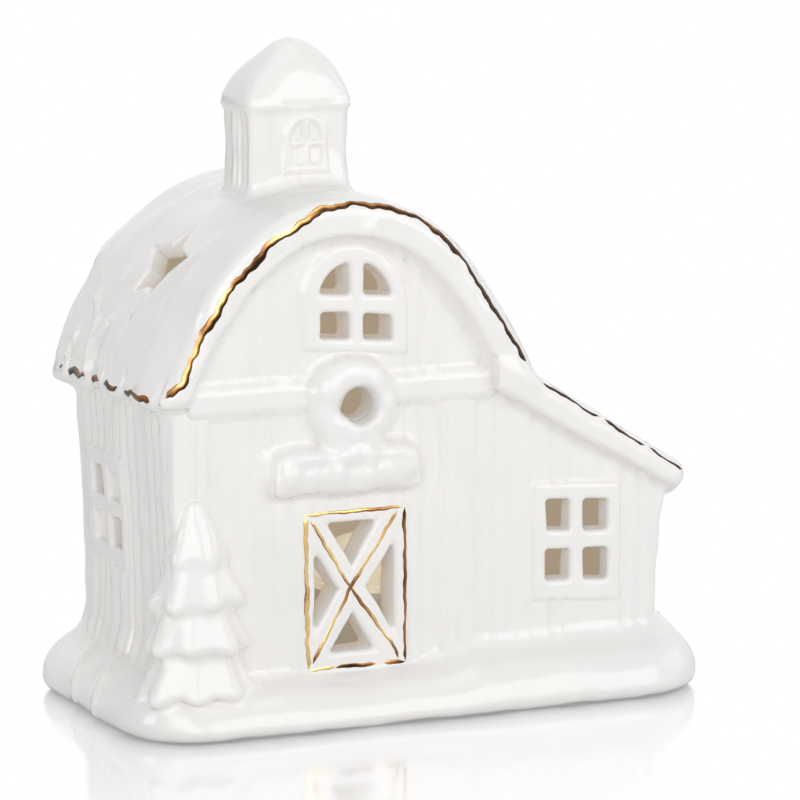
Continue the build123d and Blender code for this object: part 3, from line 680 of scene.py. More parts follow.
@dataclass(frozen=True)
class Porcelain:
    """White glaze outside, and bare warm clay where the attribute says inside, darkened there as painted
    shade and given a painted glow.
    """

    name: str = "porcelain_glaze"
    white: Colour = (0.90, 0.882, 0.856, 1.0)
    cool: Colour = (0.88, 0.868, 0.848, 1.0)
    # Bare clay colour, darker than the glaze: unglazed clay and painted shade in the hollow.
    clay_and_painted_shade: Colour = (0.56, 0.51, 0.44, 1.0)
    # Painted glow of the bare clay, standing in for light in the hollow.
    painted_glow: Colour = (0.195, 0.163, 0.125, 1.0)
    index: float = 1.52

    def make(self) -> bpy.types.Material:
        """Build the material: the bare clay is darker, as painted shade in the hollow, and glows a little,
        as painted light in the hollow.

        Returns:
            The material.
        """
        s = Shader(bpy.data.materials.new(self.name))
        at = s.place()
        glaze = s.mix(s.ramp(s.noise(at, 28.0), 0.35, 0.65), self.white, self.cool)
        bare_shade_and_glow = s.layer("bare_shade_and_glow")
        return s.surface(
            # Painted shade: the colour darkens to the clay towards the hollow.
            Base_Color=s.mix(bare_shade_and_glow, glaze, self.clay_and_painted_shade),
            Roughness=s.ramp(s.noise(at, 160.0, 2.0), 0.3, 0.7, 0.055, 0.12) + bare_shade_and_glow * 0.42,
            Normal=s.bump(s.noise(at, 420.0, 2.0), 0.12, 0.00025),
            IOR=self.index,
            # Painted glow on the bare clay.
            Emission_Color=s.mix(bare_shade_and_glow, BLACK, self.painted_glow),
            Emission_Strength=1.0,
        )


@dataclass(frozen=True)
class GoldLustre:
    """Hand-painted gold: bright, copper or dark brown as the attribute tone says, which holds the lustre's
    uneven tone and painted reflection.
    """

    name: str = "gold_lustre"
    bright: Colour = (0.92, 0.66, 0.25, 1.0)
    copper: Colour = (0.42, 0.19, 0.06, 1.0)
    # Dark brown: thin lustre and painted reflection of dark surroundings.
    brown_and_dark_reflection: Colour = (0.045, 0.024, 0.012, 1.0)

    def make(self) -> bpy.types.Material:
        """Build the material: noise breaks up the tone, which holds the lustre's own unevenness and painted
        reflection.

        Returns:
            The material.
        """
        s = Shader(bpy.data.materials.new(self.name))
        at = s.place()
        # The tone attribute holds the lustre's uneven tone and painted reflection.
        tone = s.layer("tone") + (s.noise(at, 260.0, 4.0, 0.6) - 0.5) * 0.5
        warm = s.mix(s.ramp(tone, 0.12, 0.45), self.brown_and_dark_reflection, self.copper)
        return s.surface(
            Base_Color=s.mix(s.ramp(tone, 0.5, 0.75), warm, self.bright),
            Metallic=1.0,
            Roughness=s.ramp(s.noise(at, 500.0), 0.3, 0.7, 0.12, 0.28),
            Normal=s.bump(s.noise(at, 900.0), 0.3, 0.0002),
        )


@dataclass(frozen=True)
class Moulded:
    """Plastic, rubber, metal or board with a fine grain."""

    name: str
    colour: Colour
    other: Colour
    rough: float
    metal: float = 0.0
    clear: float = 0.0
    # Painted glow, for parts that shine although the light is off.
    glow: Colour = BLACK
    grain: float = 900.0

    def make(self) -> bpy.types.Material:
        """Build the material: noise varies the colour, the gloss and the skin.

        Returns:
            The material.
        """
        s = Shader(bpy.data.materials.new(self.name))
        at = s.place()
        low, high = 0.8 * self.rough, min(1.25 * self.rough, 1.0)
        return s.surface(
            Base_Color=s.mix(s.ramp(s.noise(at, self.grain), 0.35, 0.65), self.colour, self.other),
            Metallic=self.metal,
            Roughness=s.ramp(s.noise(at, 1.7 * self.grain), 0.3, 0.7, low, high),
            Normal=s.bump(s.noise(at, 2.0 * self.grain), 0.15, 0.0001),
            Transmission_Weight=self.clear,
            Emission_Color=self.glow,
            Emission_Strength=1.0,
        )


class Finish(Enum):
    """Every finish on the barn and its light."""

    PORCELAIN = Porcelain()
    GOLD = GoldLustre()
    RUBBER = Moulded("pad_rubber", (0.16, 0.16, 0.16, 1), (0.20, 0.20, 0.20, 1), 0.7)
    PLASTIC = Moulded("unit_plastic", (0.80, 0.79, 0.76, 1), (0.84, 0.83, 0.81, 1), 0.38)
    SILICONE = Moulded("seal_silicone", (0.55, 0.55, 0.54, 1), (0.60, 0.60, 0.59, 1), 0.5)
    # Painted glow on the dome: the unit's light is off.
    CLEAR = Moulded(
        "clear_plastic", (0.95, 0.94, 0.91, 1), (0.92, 0.91, 0.88, 1), 0.09, 0.0, 0.6, (0.16, 0.14, 0.11, 1)
    )
    # Painted glow on the LED: the unit's light is off.
    LED = Moulded(
        "led_resin", (0.93, 0.87, 0.62, 1), (0.96, 0.90, 0.68, 1), 0.2, 0.0, 0.35, (0.12, 0.11, 0.08, 1)
    )
    BOARD = Moulded("board_laminate", (0.05, 0.22, 0.10, 1), (0.06, 0.27, 0.12, 1), 0.4)
    CELL = Moulded("cell_steel", (0.70, 0.70, 0.69, 1), (0.78, 0.78, 0.77, 1), 0.25, 1.0)
    BRASS = Moulded("contact_brass", (0.80, 0.62, 0.30, 1), (0.72, 0.55, 0.27, 1), 0.3, 1.0)
    SCREW = Moulded("screw_steel", (0.62, 0.62, 0.62, 1), (0.70, 0.70, 0.70, 1), 0.3, 1.0)
    SWITCH = Moulded("switch_black", (0.035, 0.035, 0.037, 1), (0.05, 0.05, 0.05, 1), 0.45)


MADE: dict[Finish, bpy.types.Material] = {}


def dress(thing: bpy.types.Object, finish: Finish) -> None:
    """Give an object one finish, built the first time it is used.

    Args:
        thing: Object to dress.
        finish: The finish.
    """
    if finish not in MADE:
        MADE[finish] = finish.value.make()
    thing.data.materials.clear()
    thing.data.materials.append(MADE[finish])


def finish_piece(made: Surface, name: str, finish: Finish) -> None:
    """Place and dress a piece of the house, hide the CAD node that it stands for and hang it on the house's
    body.

    Args:
        made: The piece's mesh.
        name: Its name, which is the CAD node's that it replaces.
        finish: Its finish.
    """
    thing = made.place(name)
    dress(thing, finish)
    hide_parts(name)
    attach(thing, "house")
    log.info("%s: %d vertices", thing.name, len(thing.data.vertices))


# Porcelain house


@dataclass(frozen=True)
class Openings:
    """Door, windows and the wreath's hole, as front or side view fields."""

    door_half: float = 12.7
    door_low: float = 11.0
    door_high: float = 47.8
    door_frame: float = 3.0
    door_sill: float = 4.3
    brace_half: float = 2.9
    brace_z: float = 29.8
    lean_x: float = 38.7
    lean_low: float = 22.4
    lean_high: float = 49.2
    lean_half: float = 10.9
    lean_tilt: float = 0.06
    side_y: float = 9.2
    side_low: float = 32.0
    side_high: float = 57.7
    side_half: float = 10.8
    gable_half: float = 12.5
    gable_low: float = 83.1
    gable_bar: float = 93.6
    gable_spring: float = 94.3
    gable_tilt: float = 0.085
    gable_shift: float = 0.4
    draft: float = 0.08
    wreath_x: float = -16.1
    wreath_z: float = 71.6
    wreath_hole: float = 3.7

    def arched(self, x: Array, z: Array, inset: float, sill: float) -> Array:
        """Round-headed outline of the gable window, which leans a little to the right.

        Args:
            x: Points across.
            z: Points up.
            inset: Distance inside the window's edge.
            sill: Height of the foot above the window's edge.
        Returns:
            Signed distance in the front view.
        """
        u = x - PLAN.trim_x
        z = z + self.gable_tilt * u
        half = self.gable_half - inset
        legs = round_meet(np.abs(u) - half, self.gable_low + sill - z, 0.6)
        head = np.hypot(u, np.maximum(z - self.gable_spring, 0.0)) - half
        return np.where(z > self.gable_spring, head, legs)

    def panes(self, u: Array, z: Array, half: float, low: float, high: float) -> Array:
        """Four square panes in a window that is 2 half wide.

        Args:
            u: Distance from the window's middle.
            z: Height.
            half: Half width.
            low: Bottom.
            high: Top.
        Returns:
            Field of the panes.
        """
        side, head, sill, upright, level = 3.1, 3.7, 4.5, 1.8, 2.1
        across = span(np.abs(u), upright, half - side)
        middle = 0.5 * (low + sill + high - head)
        up = any_of(span(z, low + sill, middle - level), span(z, middle + level, high - head))
        return round_meet(across, up, 0.9)

    def gable_panes(self, x: Array, z: Array) -> Array:
        """Two square panes under two quarter-round ones.

        Args:
            x: Points across.
            z: Points up.
        Returns:
            Field of the panes.
        """
        u = x - PLAN.trim_x - self.gable_shift
        inner = self.arched(x - self.gable_shift, z, 3.8, 2.6)
        upright = 1.7 - np.abs(u)
        level = 2.1 - np.abs(z + self.gable_tilt * u - self.gable_bar)
        return meet(meet(inner, upright, 1.2), level, 1.2)

    def braces(self, x: Array, z: Array) -> Array:
        """Distance to the door's two crossed braces.

        Args:
            x: Points across.
            z: Points up.
        Returns:
            Signed distance.
        """
        u = np.abs(x - PLAN.trim_x + 0.6)
        v = np.abs(z - self.brace_z)
        wide = self.door_half - self.door_frame
        tall = 0.5 * (self.door_high - self.door_low) - self.door_frame
        return np.abs(u * tall - v * wide) / math.hypot(wide, tall) - self.brace_half

    def door_holes(self, x: Array, z: Array) -> Array:
        """Four triangles with round corners between the door's frame and braces.

        Args:
            x: Points across.
            z: Points up.
        Returns:
            Signed distance.
        """
        low, high = self.door_low + self.door_sill, self.door_high - self.door_frame
        inner = panel(x - PLAN.trim_x, z, self.door_half - self.door_frame, low, high, 0.8)
        return meet(inner, -self.braces(x, z), 1.4)

    def wreath_round(self, x: Array, z: Array) -> Array:
        """Round hole through the wreath and the wall."""
        return np.hypot(x - self.wreath_x, z - self.wreath_z) - self.wreath_hole


OPEN = Openings()


@dataclass(frozen=True)
class Walls:
    """Four boarded walls that share corners and flare into the snow and the eaves.

    Boards are given by their pitch, where a groove lies and the strength of the grooves.
    """

    front_boards: Triple = (4.5, 0.6, 0.7)
    back_boards: Triple = (4.5, 1.4, 0.7)
    left_boards: Triple = (4.8, 1.0, 0.4)
    right_boards: Triple = (4.8, 2.2, 0.4)
    left_relief: float = 1.7
    right_relief: float = 1.5
    left_draw: float = 1.7
    right_draw: float = 1.2
    corner: float = 2.2
    soft_corner: float = 4.4
    soft_run: Pair = (-40.0, -55.0)
    tuck: float = 3.0
    left_top: float = 84.0
    door_half: float = 11.6
    door_low: float = 13.0
    door_high: float = 46.6
    pane_half: float = 9.6
    pane_inset: float = 1.6
    pane_corner: float = 1.0
    side_inset: float = 1.2
    gable_inset: float = 1.4
    low: float = 6.5

    def left_waist(self, z: Array) -> Array:
        """How far the left wall is drawn in between the snow and its eave."""
        return self.left_draw * ramp(11.0, 21.0, z) * ramp(PLAN.eave - 6.0, 30.0, z)

    def right_waist(self, z: Array) -> Array:
        """How far the right wall is drawn in, turning outwards under its eave."""
        inward = self.right_draw * ramp(12.0, 18.0, z) * ramp(42.0, 24.0, z)
        return inward - self.right_draw * ramp(37.0, 48.0, z)

    def edge(self, x: Array, z: Array) -> Array:
        """Front view of the front and back walls: under the roofs, drawn in like the side walls.

        Args:
            x: Points across.
            z: Points up.
        Returns:
            Signed distance.
        """
        outline = all_of(PLAN.cover(x, z) + self.tuck, span(x, PLAN.left, PLAN.right), PLAN.floor - z)
        return outline + np.where(x < 0.0, self.left_waist(z), self.right_waist(z))

    def front(self, p: Points) -> Array:
        """Front wall: slab with boards outside, less the openings.

        Args:
            p: Points.
        Returns:
            Signed distance.
        """
        x, y, z = p
        face = PLAN.front - y - boards(x, z, *self.front_boards)
        round_end = self.corner + (self.soft_corner - self.corner) * ramp(*self.soft_run, x)
        slab = all_of(round_meet(self.edge(x, z), face, round_end), y - PLAN.front - PLAN.wall)
        door = span(x - PLAN.trim_x, -self.door_half, self.door_half)
        low, high = OPEN.lean_low + self.pane_inset, OPEN.lean_high - self.pane_inset
        holes = any_of(
            all_of(door, span(z, self.door_low, self.door_high)),
            panel(x - OPEN.lean_x, z, self.pane_half, low, high, self.pane_corner),
            OPEN.arched(x, z, self.gable_inset, self.gable_inset),
            OPEN.wreath_round(x, z),
        )
        return all_of(slab, -holes)

    def back(self, p: Points) -> Array:
        """Back wall: plain boards.

        Args:
            p: Points.
        Returns:
            Signed distance.
        """
        x, y, z = p
        face = y - PLAN.back - boards(x, z, *self.back_boards)
        return all_of(round_meet(self.edge(x, z), face, self.corner), PLAN.back - PLAN.wall - y)

    def gables(self, p: Points) -> Array:
        """Front and back walls together."""
        return any_of(self.front(p), self.back(p))

    def left(self, p: Points) -> Array:
        """Left wall under the main eave, with its window's hole.

        Args:
            p: Points.
        Returns:
            Signed distance.
        """
        x, y, z = p
        relief = self.left_relief * boards(y, z, *self.left_boards) - self.left_waist(z)
        slab = all_of(
            PLAN.left - x - relief,
            x - PLAN.left - PLAN.wall,
            span(y, PLAN.front + self.soft_corner, PLAN.back - self.corner),
            span(z, PLAN.floor, self.left_top),
            PLAN.arch(x, z) + self.tuck,
        )
        inset = self.side_inset
        low, high = OPEN.side_low + inset, OPEN.side_high - inset
        hole = panel(y - OPEN.side_y, z, OPEN.side_half - inset, low, high, self.pane_corner)
        return all_of(slab, -hole)

    def right(self, p: Points) -> Array:
        """Right wall under the lean-to's eave.

        Args:
            p: Points.
        Returns:
            Signed distance.
        """
        x, y, z = p
        relief = self.right_relief * boards(y, z, *self.right_boards) - self.right_waist(z)
        reach = PLAN.back - self.corner
        slab = all_of(x - PLAN.right - relief, PLAN.right - PLAN.wall - x, span(y, -reach, reach))
        return all_of(slab, PLAN.floor - z, PLAN.lean(x, z) + self.tuck)

    def castings(self) -> list[Casting]:
        """The four walls.

        Returns:
            Their castings.
        """
        near, inner = PLAN.front - 1.6, PLAN.front + PLAN.wall + 0.4
        outer, room = PLAN.right + 2.4, PLAN.right - PLAN.wall - 0.5
        side = PLAN.back - self.corner + 0.4
        return [
            Casting("front_wall", self.front, (-outer, near, self.low), (outer, inner, 117), 0.5),
            Casting("back_wall", self.back, (-outer, -inner, self.low), (outer, -near, 117), 0.55),
            Casting("left_wall", self.left, (-outer, -side, self.low), (-room, side, 85), 0.45),
            Casting("right_wall", self.right, (room, -side, self.low), (outer, side, 58), 0.45),
        ]


WALLS = Walls()


@dataclass(frozen=True)
class Roofs:
    """Snow-laden gambrel roof and the lean-to that carries on from it.

    Each crease gives its place along the eave, length and depth, and each flow its two ends, along
    the roof and up, its width and its height.
    """

    roll: float = 15.0
    skin_inset: float = 0.6
    end_inset: float = 0.2
    lip_run: Pair = (26.5, 29.1)
    verge_round: float = 3.4
    eave_round: float = 3.0
    under_round: float = 1.8
    gable_cove: float = 4.6
    side_cove: float = 3.2
    least_sink: float = 0.3
    sink_left: Triple = (3.4, 85.0, 11.0)
    sink_right: Triple = (1.7, 92.0, 11.0)
    rear_hollow: Triple = (0.9, 75.0, 6.0)
    rear_swell: Triple = (1.5, 101.0, 5.0)
    creases: tuple[Triple, ...] = (
        (6.6, 9.0, 0.9),
        (-1.4, 5.0, 0.9),
        (-13.0, 6.0, 0.9),
        (21.5, 8.0, 0.8),
        (-29.6, 6.0, 0.9),
    )
    flows: Rows = (
        (19.0, 91.5, 12.3, 87.3, 1.2, 0.7),
        (12.3, 87.3, 7.9, 77.0, 1.1, 0.9),
        (6.3, 87.7, 9.8, 83.5, 0.9, 0.6),
        (11.6, 96.6, 13.3, 88.0, 1.7, 0.5),
        (20.9, 84.0, 22.6, 78.3, 1.0, 0.6),
        (-16.3, 105.4, -4.7, 91.5, 1.9, 0.55),
        (26.5, 104.0, 28.5, 78.0, 2.4, 0.5),
        (16.0, 113.0, 23.0, 97.0, 3.0, 0.5),
        (-20.0, 100.0, -23.5, 79.0, 3.0, 0.5),
        (-7.5, 90.0, -7.0, 78.0, 2.8, 0.4),
        (2.6, 88.0, 2.4, 79.0, 2.2, 0.35),
    )
    flow_gain: float = 1.6
    crease_foot: float = 73.0
    crease_width: float = 0.8
    notch_gain: float = 1.3
    notch_width: float = 1.2
    eave_low: float = 73.2
    eave_drop: float = 1.8
    star_tip: float = 10.5
    star_notch: float = 6.0
    star_draft: float = 0.2
    star_offset: float = 32.0
    star_y: float = -1.7
    star_round: float = 1.2
    star_points: int = 5
    star_limit: float = 12.0
    well_x: float = -20.5
    well_low: float = 104.0
    lean_root: float = 17.0
    lean_verge_round: float = 2.6
    lean_tip_round: float = 3.4
    lean_under_round: float = 2.2
    lean_lip: float = 2.8
    lean_lip_fall: float = 0.045
    lean_coves: Triple = (3.2, 5.5, 2.5)

    def along(self, x: Array, y: Array) -> Array:
        """Distance along the roof, turned round on the right slope."""
        return y * np.where(x < PLAN.barn_x, 1.0, -1.0)

    def end(self, y: Array) -> Array:
        """Distance outside the roofs' front and back ends."""
        return np.abs(y) - PLAN.verge + self.end_inset

    def overhang(self, y: Array) -> Array:
        """Share of the way from a wall's inside to the thicker lip in front of it."""
        return ramp(*self.lip_run, np.abs(y))

    def snow(self, p: Points) -> Array:
        """Relief of the snow: flowing ridges and creases that start at the eaves.

        Args:
            p: Points.
        Returns:
            Outward relief.
        """
        x, y, z = p
        v = self.along(x, y)
        relief = all_of(0.0, *(ridge(v, z, row, self.flow_gain) for row in self.flows))
        for middle, length, depth in self.creases:
            fade = ramp(self.crease_foot + length * 1.5, self.crease_foot + 0.4 * length, z)
            relief = relief - depth * fade * hill(v, middle, self.crease_width)
        return relief

    def sink(self, p: Points) -> Array:
        """How far the skin falls towards the gables, deepest half way up each slope.

        Args:
            p: Points.
        Returns:
            Inward distance.
        """
        x, y, z = p
        left = x < PLAN.barn_x
        deep = self.least_sink + np.where(left, swell(z, self.sink_left), swell(z, self.sink_right))
        front = ramp(self.roll - PLAN.verge, -PLAN.verge - 1.0, y)
        rear = ramp(8.0, PLAN.verge, y) * (swell(z, self.rear_hollow) - swell(z, self.rear_swell))
        back = self.least_sink * ramp(PLAN.verge - 6.0, PLAN.verge, y)
        return front * deep + back + np.where(left, rear, 0.0)

    def skin(self, p: Points) -> Array:
        """Outer skin of the main roof."""
        return PLAN.arch(p[0], p[2]) + self.sink(p) - self.snow(p) + self.skin_inset

    def eave_foot(self, x: Array, y: Array) -> Array:
        """Lowest height of the eaves, notched up where a crease ends.

        Args:
            x: Points across.
            y: Points in depth.
        Returns:
            The height.
        """
        v = self.along(x, y)
        foot = self.eave_low + 0.4 * np.sin(0.33 * y + 0.8) - self.eave_drop * ramp(-8.0, 30.0, v)
        for middle, _, depth in self.creases:
            foot = foot + self.notch_gain * depth * hill(v, middle, self.notch_width)
        return foot

    def star(self, p: Points) -> Array:
        """Five-pointed star square to the left slope: edges from each tip to its notches.

        Args:
            p: Points.
        Returns:
            Signed distance, negative in the star.
        """
        x, y, z = p
        side_u, side_z = PLAN.side_middle
        up = math.acos((self.star_offset - side_u) / PLAN.side_radius)
        out_x, out_z = -math.cos(up), math.sin(up)
        mid_x = PLAN.barn_x - self.star_offset
        mid_z = side_z + PLAN.side_radius * math.sin(up)
        a = y - self.star_y
        b = (x - mid_x) * out_z - (z - mid_z) * out_x
        reach = np.hypot(a, b)
        turn = 2.0 * math.pi / self.star_points
        angle = np.arctan2(a, b)
        angle = np.abs(angle - turn * np.round(angle / turn))
        du = self.star_notch * math.cos(turn / 2.0) - self.star_tip
        dv = self.star_notch * math.sin(turn / 2.0)
        edge = (reach * np.cos(angle) - self.star_tip) * dv - reach * np.sin(angle) * du
        narrow = self.star_draft * np.maximum(-PLAN.arch(x, z), 0.0)
        return all_of(edge / math.hypot(du, dv) + narrow, x - PLAN.barn_x + self.star_limit)

    def main(self, p: Points) -> Array:
        """Gambrel roof with rolled edges, before its fillets.

        Args:
            p: Points.
        Returns:
            Signed distance.
        """
        x, y, z = p
        outer = round_meet(self.skin(p), self.end(y), self.verge_round)
        outer = round_meet(outer, self.eave_foot(x, y) - z, self.eave_round)
        thick = PLAN.thick + (PLAN.verge_thick - PLAN.thick) * self.overhang(y)
        shell = meet(outer, -PLAN.arch(x, z) - thick, self.under_round)
        return meet(shell, -self.star(p), self.star_round)

    def main_dressed(self, p: Points) -> Array:
        """Main roof with coves on to the walls, open under the cupola.

        Args:
            p: Points.
        Returns:
            Signed distance.
        """
        x, y, z = p
        roof = apron(self.main(p), (WALLS.gables(p), self.gable_cove), (WALLS.left(p), self.side_cove))
        return all_of(roof, -all_of(PLAN.well(x - self.well_x, y), self.well_low - z))

    def lean_to(self, p: Points) -> Array:
        """Single slope with a rolled tip, before its fillets.

        Args:
            p: Points.
        Returns:
            Signed distance.
        """
        x, y, z = p
        along = PLAN.lean_along(x, z)
        wavy = 0.25 * np.sin(0.5 * along + 0.4 * y)
        share = ramp(PLAN.verge - self.roll, PLAN.verge + 1.0, np.abs(y))
        top = PLAN.lean(x, z) + share * (1.0 + wavy) + 0.3 - 0.25 * np.sin(0.3 * y + 0.2 * along)
        tip = along - PLAN.lean_length + 0.3 * np.sin(0.5 * y)
        slab = round_meet(round_meet(top, self.end(y), self.lean_verge_round), tip, self.lean_tip_round)
        drop = PLAN.thick + (self.lean_lip - self.lean_lip_fall * along) * self.overhang(y)
        slab = meet(slab, -PLAN.lean(x, z) - drop, self.lean_under_round)
        return all_of(slab, self.lean_root - x)

    def lean_to_dressed(self, p: Points) -> Array:
        """Lean-to roof with coves on to the walls and the main roof."""
        hosts = (WALLS.gables(p), WALLS.right(p), self.main(p))
        return apron(self.lean_to(p), *zip(hosts, self.lean_coves))

    def castings(self) -> list[Casting]:
        """The two roofs.

        Returns:
            Their castings.
        """
        end = PLAN.verge + 0.4
        return [
            Casting("main_roof", self.main_dressed, (-70, -end, 64), (31, end, 119.2), 0.6),
            Casting("lean_to_roof", self.lean_to_dressed, (12, -end, 40), (67.6, end, 80), 0.55),
        ]


ROOFS = Roofs()


@dataclass(frozen=True)
class Cupola:
    """Small boarded tower with a soft cap and a window in relief."""

    x: float = -20.35
    half_x: float = 12.2
    half_y: float = 8.5
    low: float = 108.0
    top: float = 137.0
    waist: Triple = (0.4, 127.0, 7.0)
    side_boards: Triple = (3.4, 0.8, 0.4)
    front_boards: Triple = (3.6, 0.4, 0.6)
    side_relief: float = 1.7
    front_relief: float = 0.8
    corner: float = 1.9
    foot_cove: float = 3.4
    lip: float = 2.4
    lip_z: float = 138.3
    cove_z: float = 134.6
    rim_z: float = 135.4
    peak: float = 153.0
    tip: float = 151.3
    tip_round: float = 3.2
    hip_round: float = 5.5
    rim_round: float = 3.6
    lip_round: float = 6.0
    under_round: float = 2.6
    cap_cove: float = 2.6
    tip_shift: float = 0.6
    window_x: float = -19.0
    window_spring: float = 128.6
    window_bar: float = 127.2
    window_outer: Pair = (5.2, 120.7)
    window_inner: Pair = (3.7, 122.3)
    window_cross: float = 0.7
    window_proud: float = 0.45
    window_root: float = 1.2
    window_cove: float = 1.1

    def tower(self, p: Points) -> Array:
        """Tower with boards, waisted, before its foot's fillet.

        Args:
            p: Points.
        Returns:
            Signed distance.
        """
        x, y, z = p
        u = x - self.x
        waist = swell(z, self.waist)
        under = ramp(self.top - 0.5, self.top - 3.5, z)
        across = np.abs(u) - self.half_x - self.side_relief * under * boards(y, z, *self.side_boards) + waist
        deep = np.abs(y) - self.half_y - self.front_relief * under * boards(u, z, *self.front_boards) + waist
        column = round_meet(across, deep, self.corner)
        return all_of(column, -PLAN.well(u, y), span(z, self.low, self.top + 1.0))

    def tower_dressed(self, p: Points) -> Array:
        """Tower with a wide fillet on to the roof."""
        return apron(self.tower(p), (ROOFS.skin(p), self.foot_cove))

    def cap(self, p: Points) -> Array:
        """Four-sided cap: upright rim, full slopes with soft hips and a blunt tip.

        A slope is a plane from the rim to the peak, moved out by a parabola that is fullest half
        way up and fuller on the right.

        Args:
            p: Points.
        Returns:
            Signed distance.
        """
        x, y, z = p
        side = x - self.x - self.tip_shift * ramp(self.lip_z, self.tip, z)
        rise = self.peak - self.lip_z
        share = np.clip((z - self.lip_z) / rise, 0.0, 1.0)
        full = (0.8 + 0.4 * np.tanh(side / 4.0)) * 4.0 * share * (1.0 - share)
        slopes, rims = [], []
        for reach, half, bulge in ((np.abs(side), self.half_x, full), (np.abs(y), self.half_y, 0.5 * full)):
            lip = half + self.lip
            slopes.append(((z - self.lip_z) * lip + (reach - lip) * rise) / math.hypot(lip, rise) - bulge)
            rims.append(reach - lip)
        sides = meet(meet(*slopes, self.hip_round), z - self.tip, self.tip_round)
        cap = meet(sides, meet(*rims, self.rim_round), self.lip_round)
        return meet(cap, self.rim_z - z, self.under_round)

    def cap_dressed(self, p: Points) -> Array:
        """Cap with a cove on to the tower under its lip."""
        return apron(self.cap(p), (all_of(self.tower(p), p[2] - self.cove_z), self.cap_cove))

    def window(self, p: Points) -> Array:
        """Round-headed frame with a cross, in low relief.

        Args:
            p: Points.
        Returns:
            Signed distance.
        """
        x, y, z = p
        u = x - self.window_x
        head = np.hypot(u, np.maximum(z - self.window_spring, 0.0))
        sizes = (self.window_outer, self.window_inner)
        outer, inner = (all_of(head - half, sill - z) for half, sill in sizes)
        cross = any_of(np.abs(u), np.abs(z - self.window_bar)) - self.window_cross
        lines = all_of(outer, -all_of(inner, -cross))
        relief = meet(lines, -self.half_y - self.window_proud - y, 1.0)
        return all_of(relief, y + self.half_y - self.window_root)

    def window_dressed(self, p: Points) -> Array:
        """Relief with a small fillet."""
        return apron(self.window(p), (self.tower(p), self.window_cove))

    def castings(self) -> list[Casting]:
        """Tower, cap and window.

        Returns:
            Their castings.
        """
        near = -self.half_y - 1.2
        return [
            Casting("cupola_tower", self.tower_dressed, (-40, -16, 107), (-2, 16, 138.5), 0.42),
            Casting("cupola_cap", self.cap_dressed, (-36, -12, 131), (-6, 12, 151), 0.42),
            Casting("cupola_window", self.window_dressed, (-26, near, 119), (-12, near + 3.4, 135), 0.28),
        ]


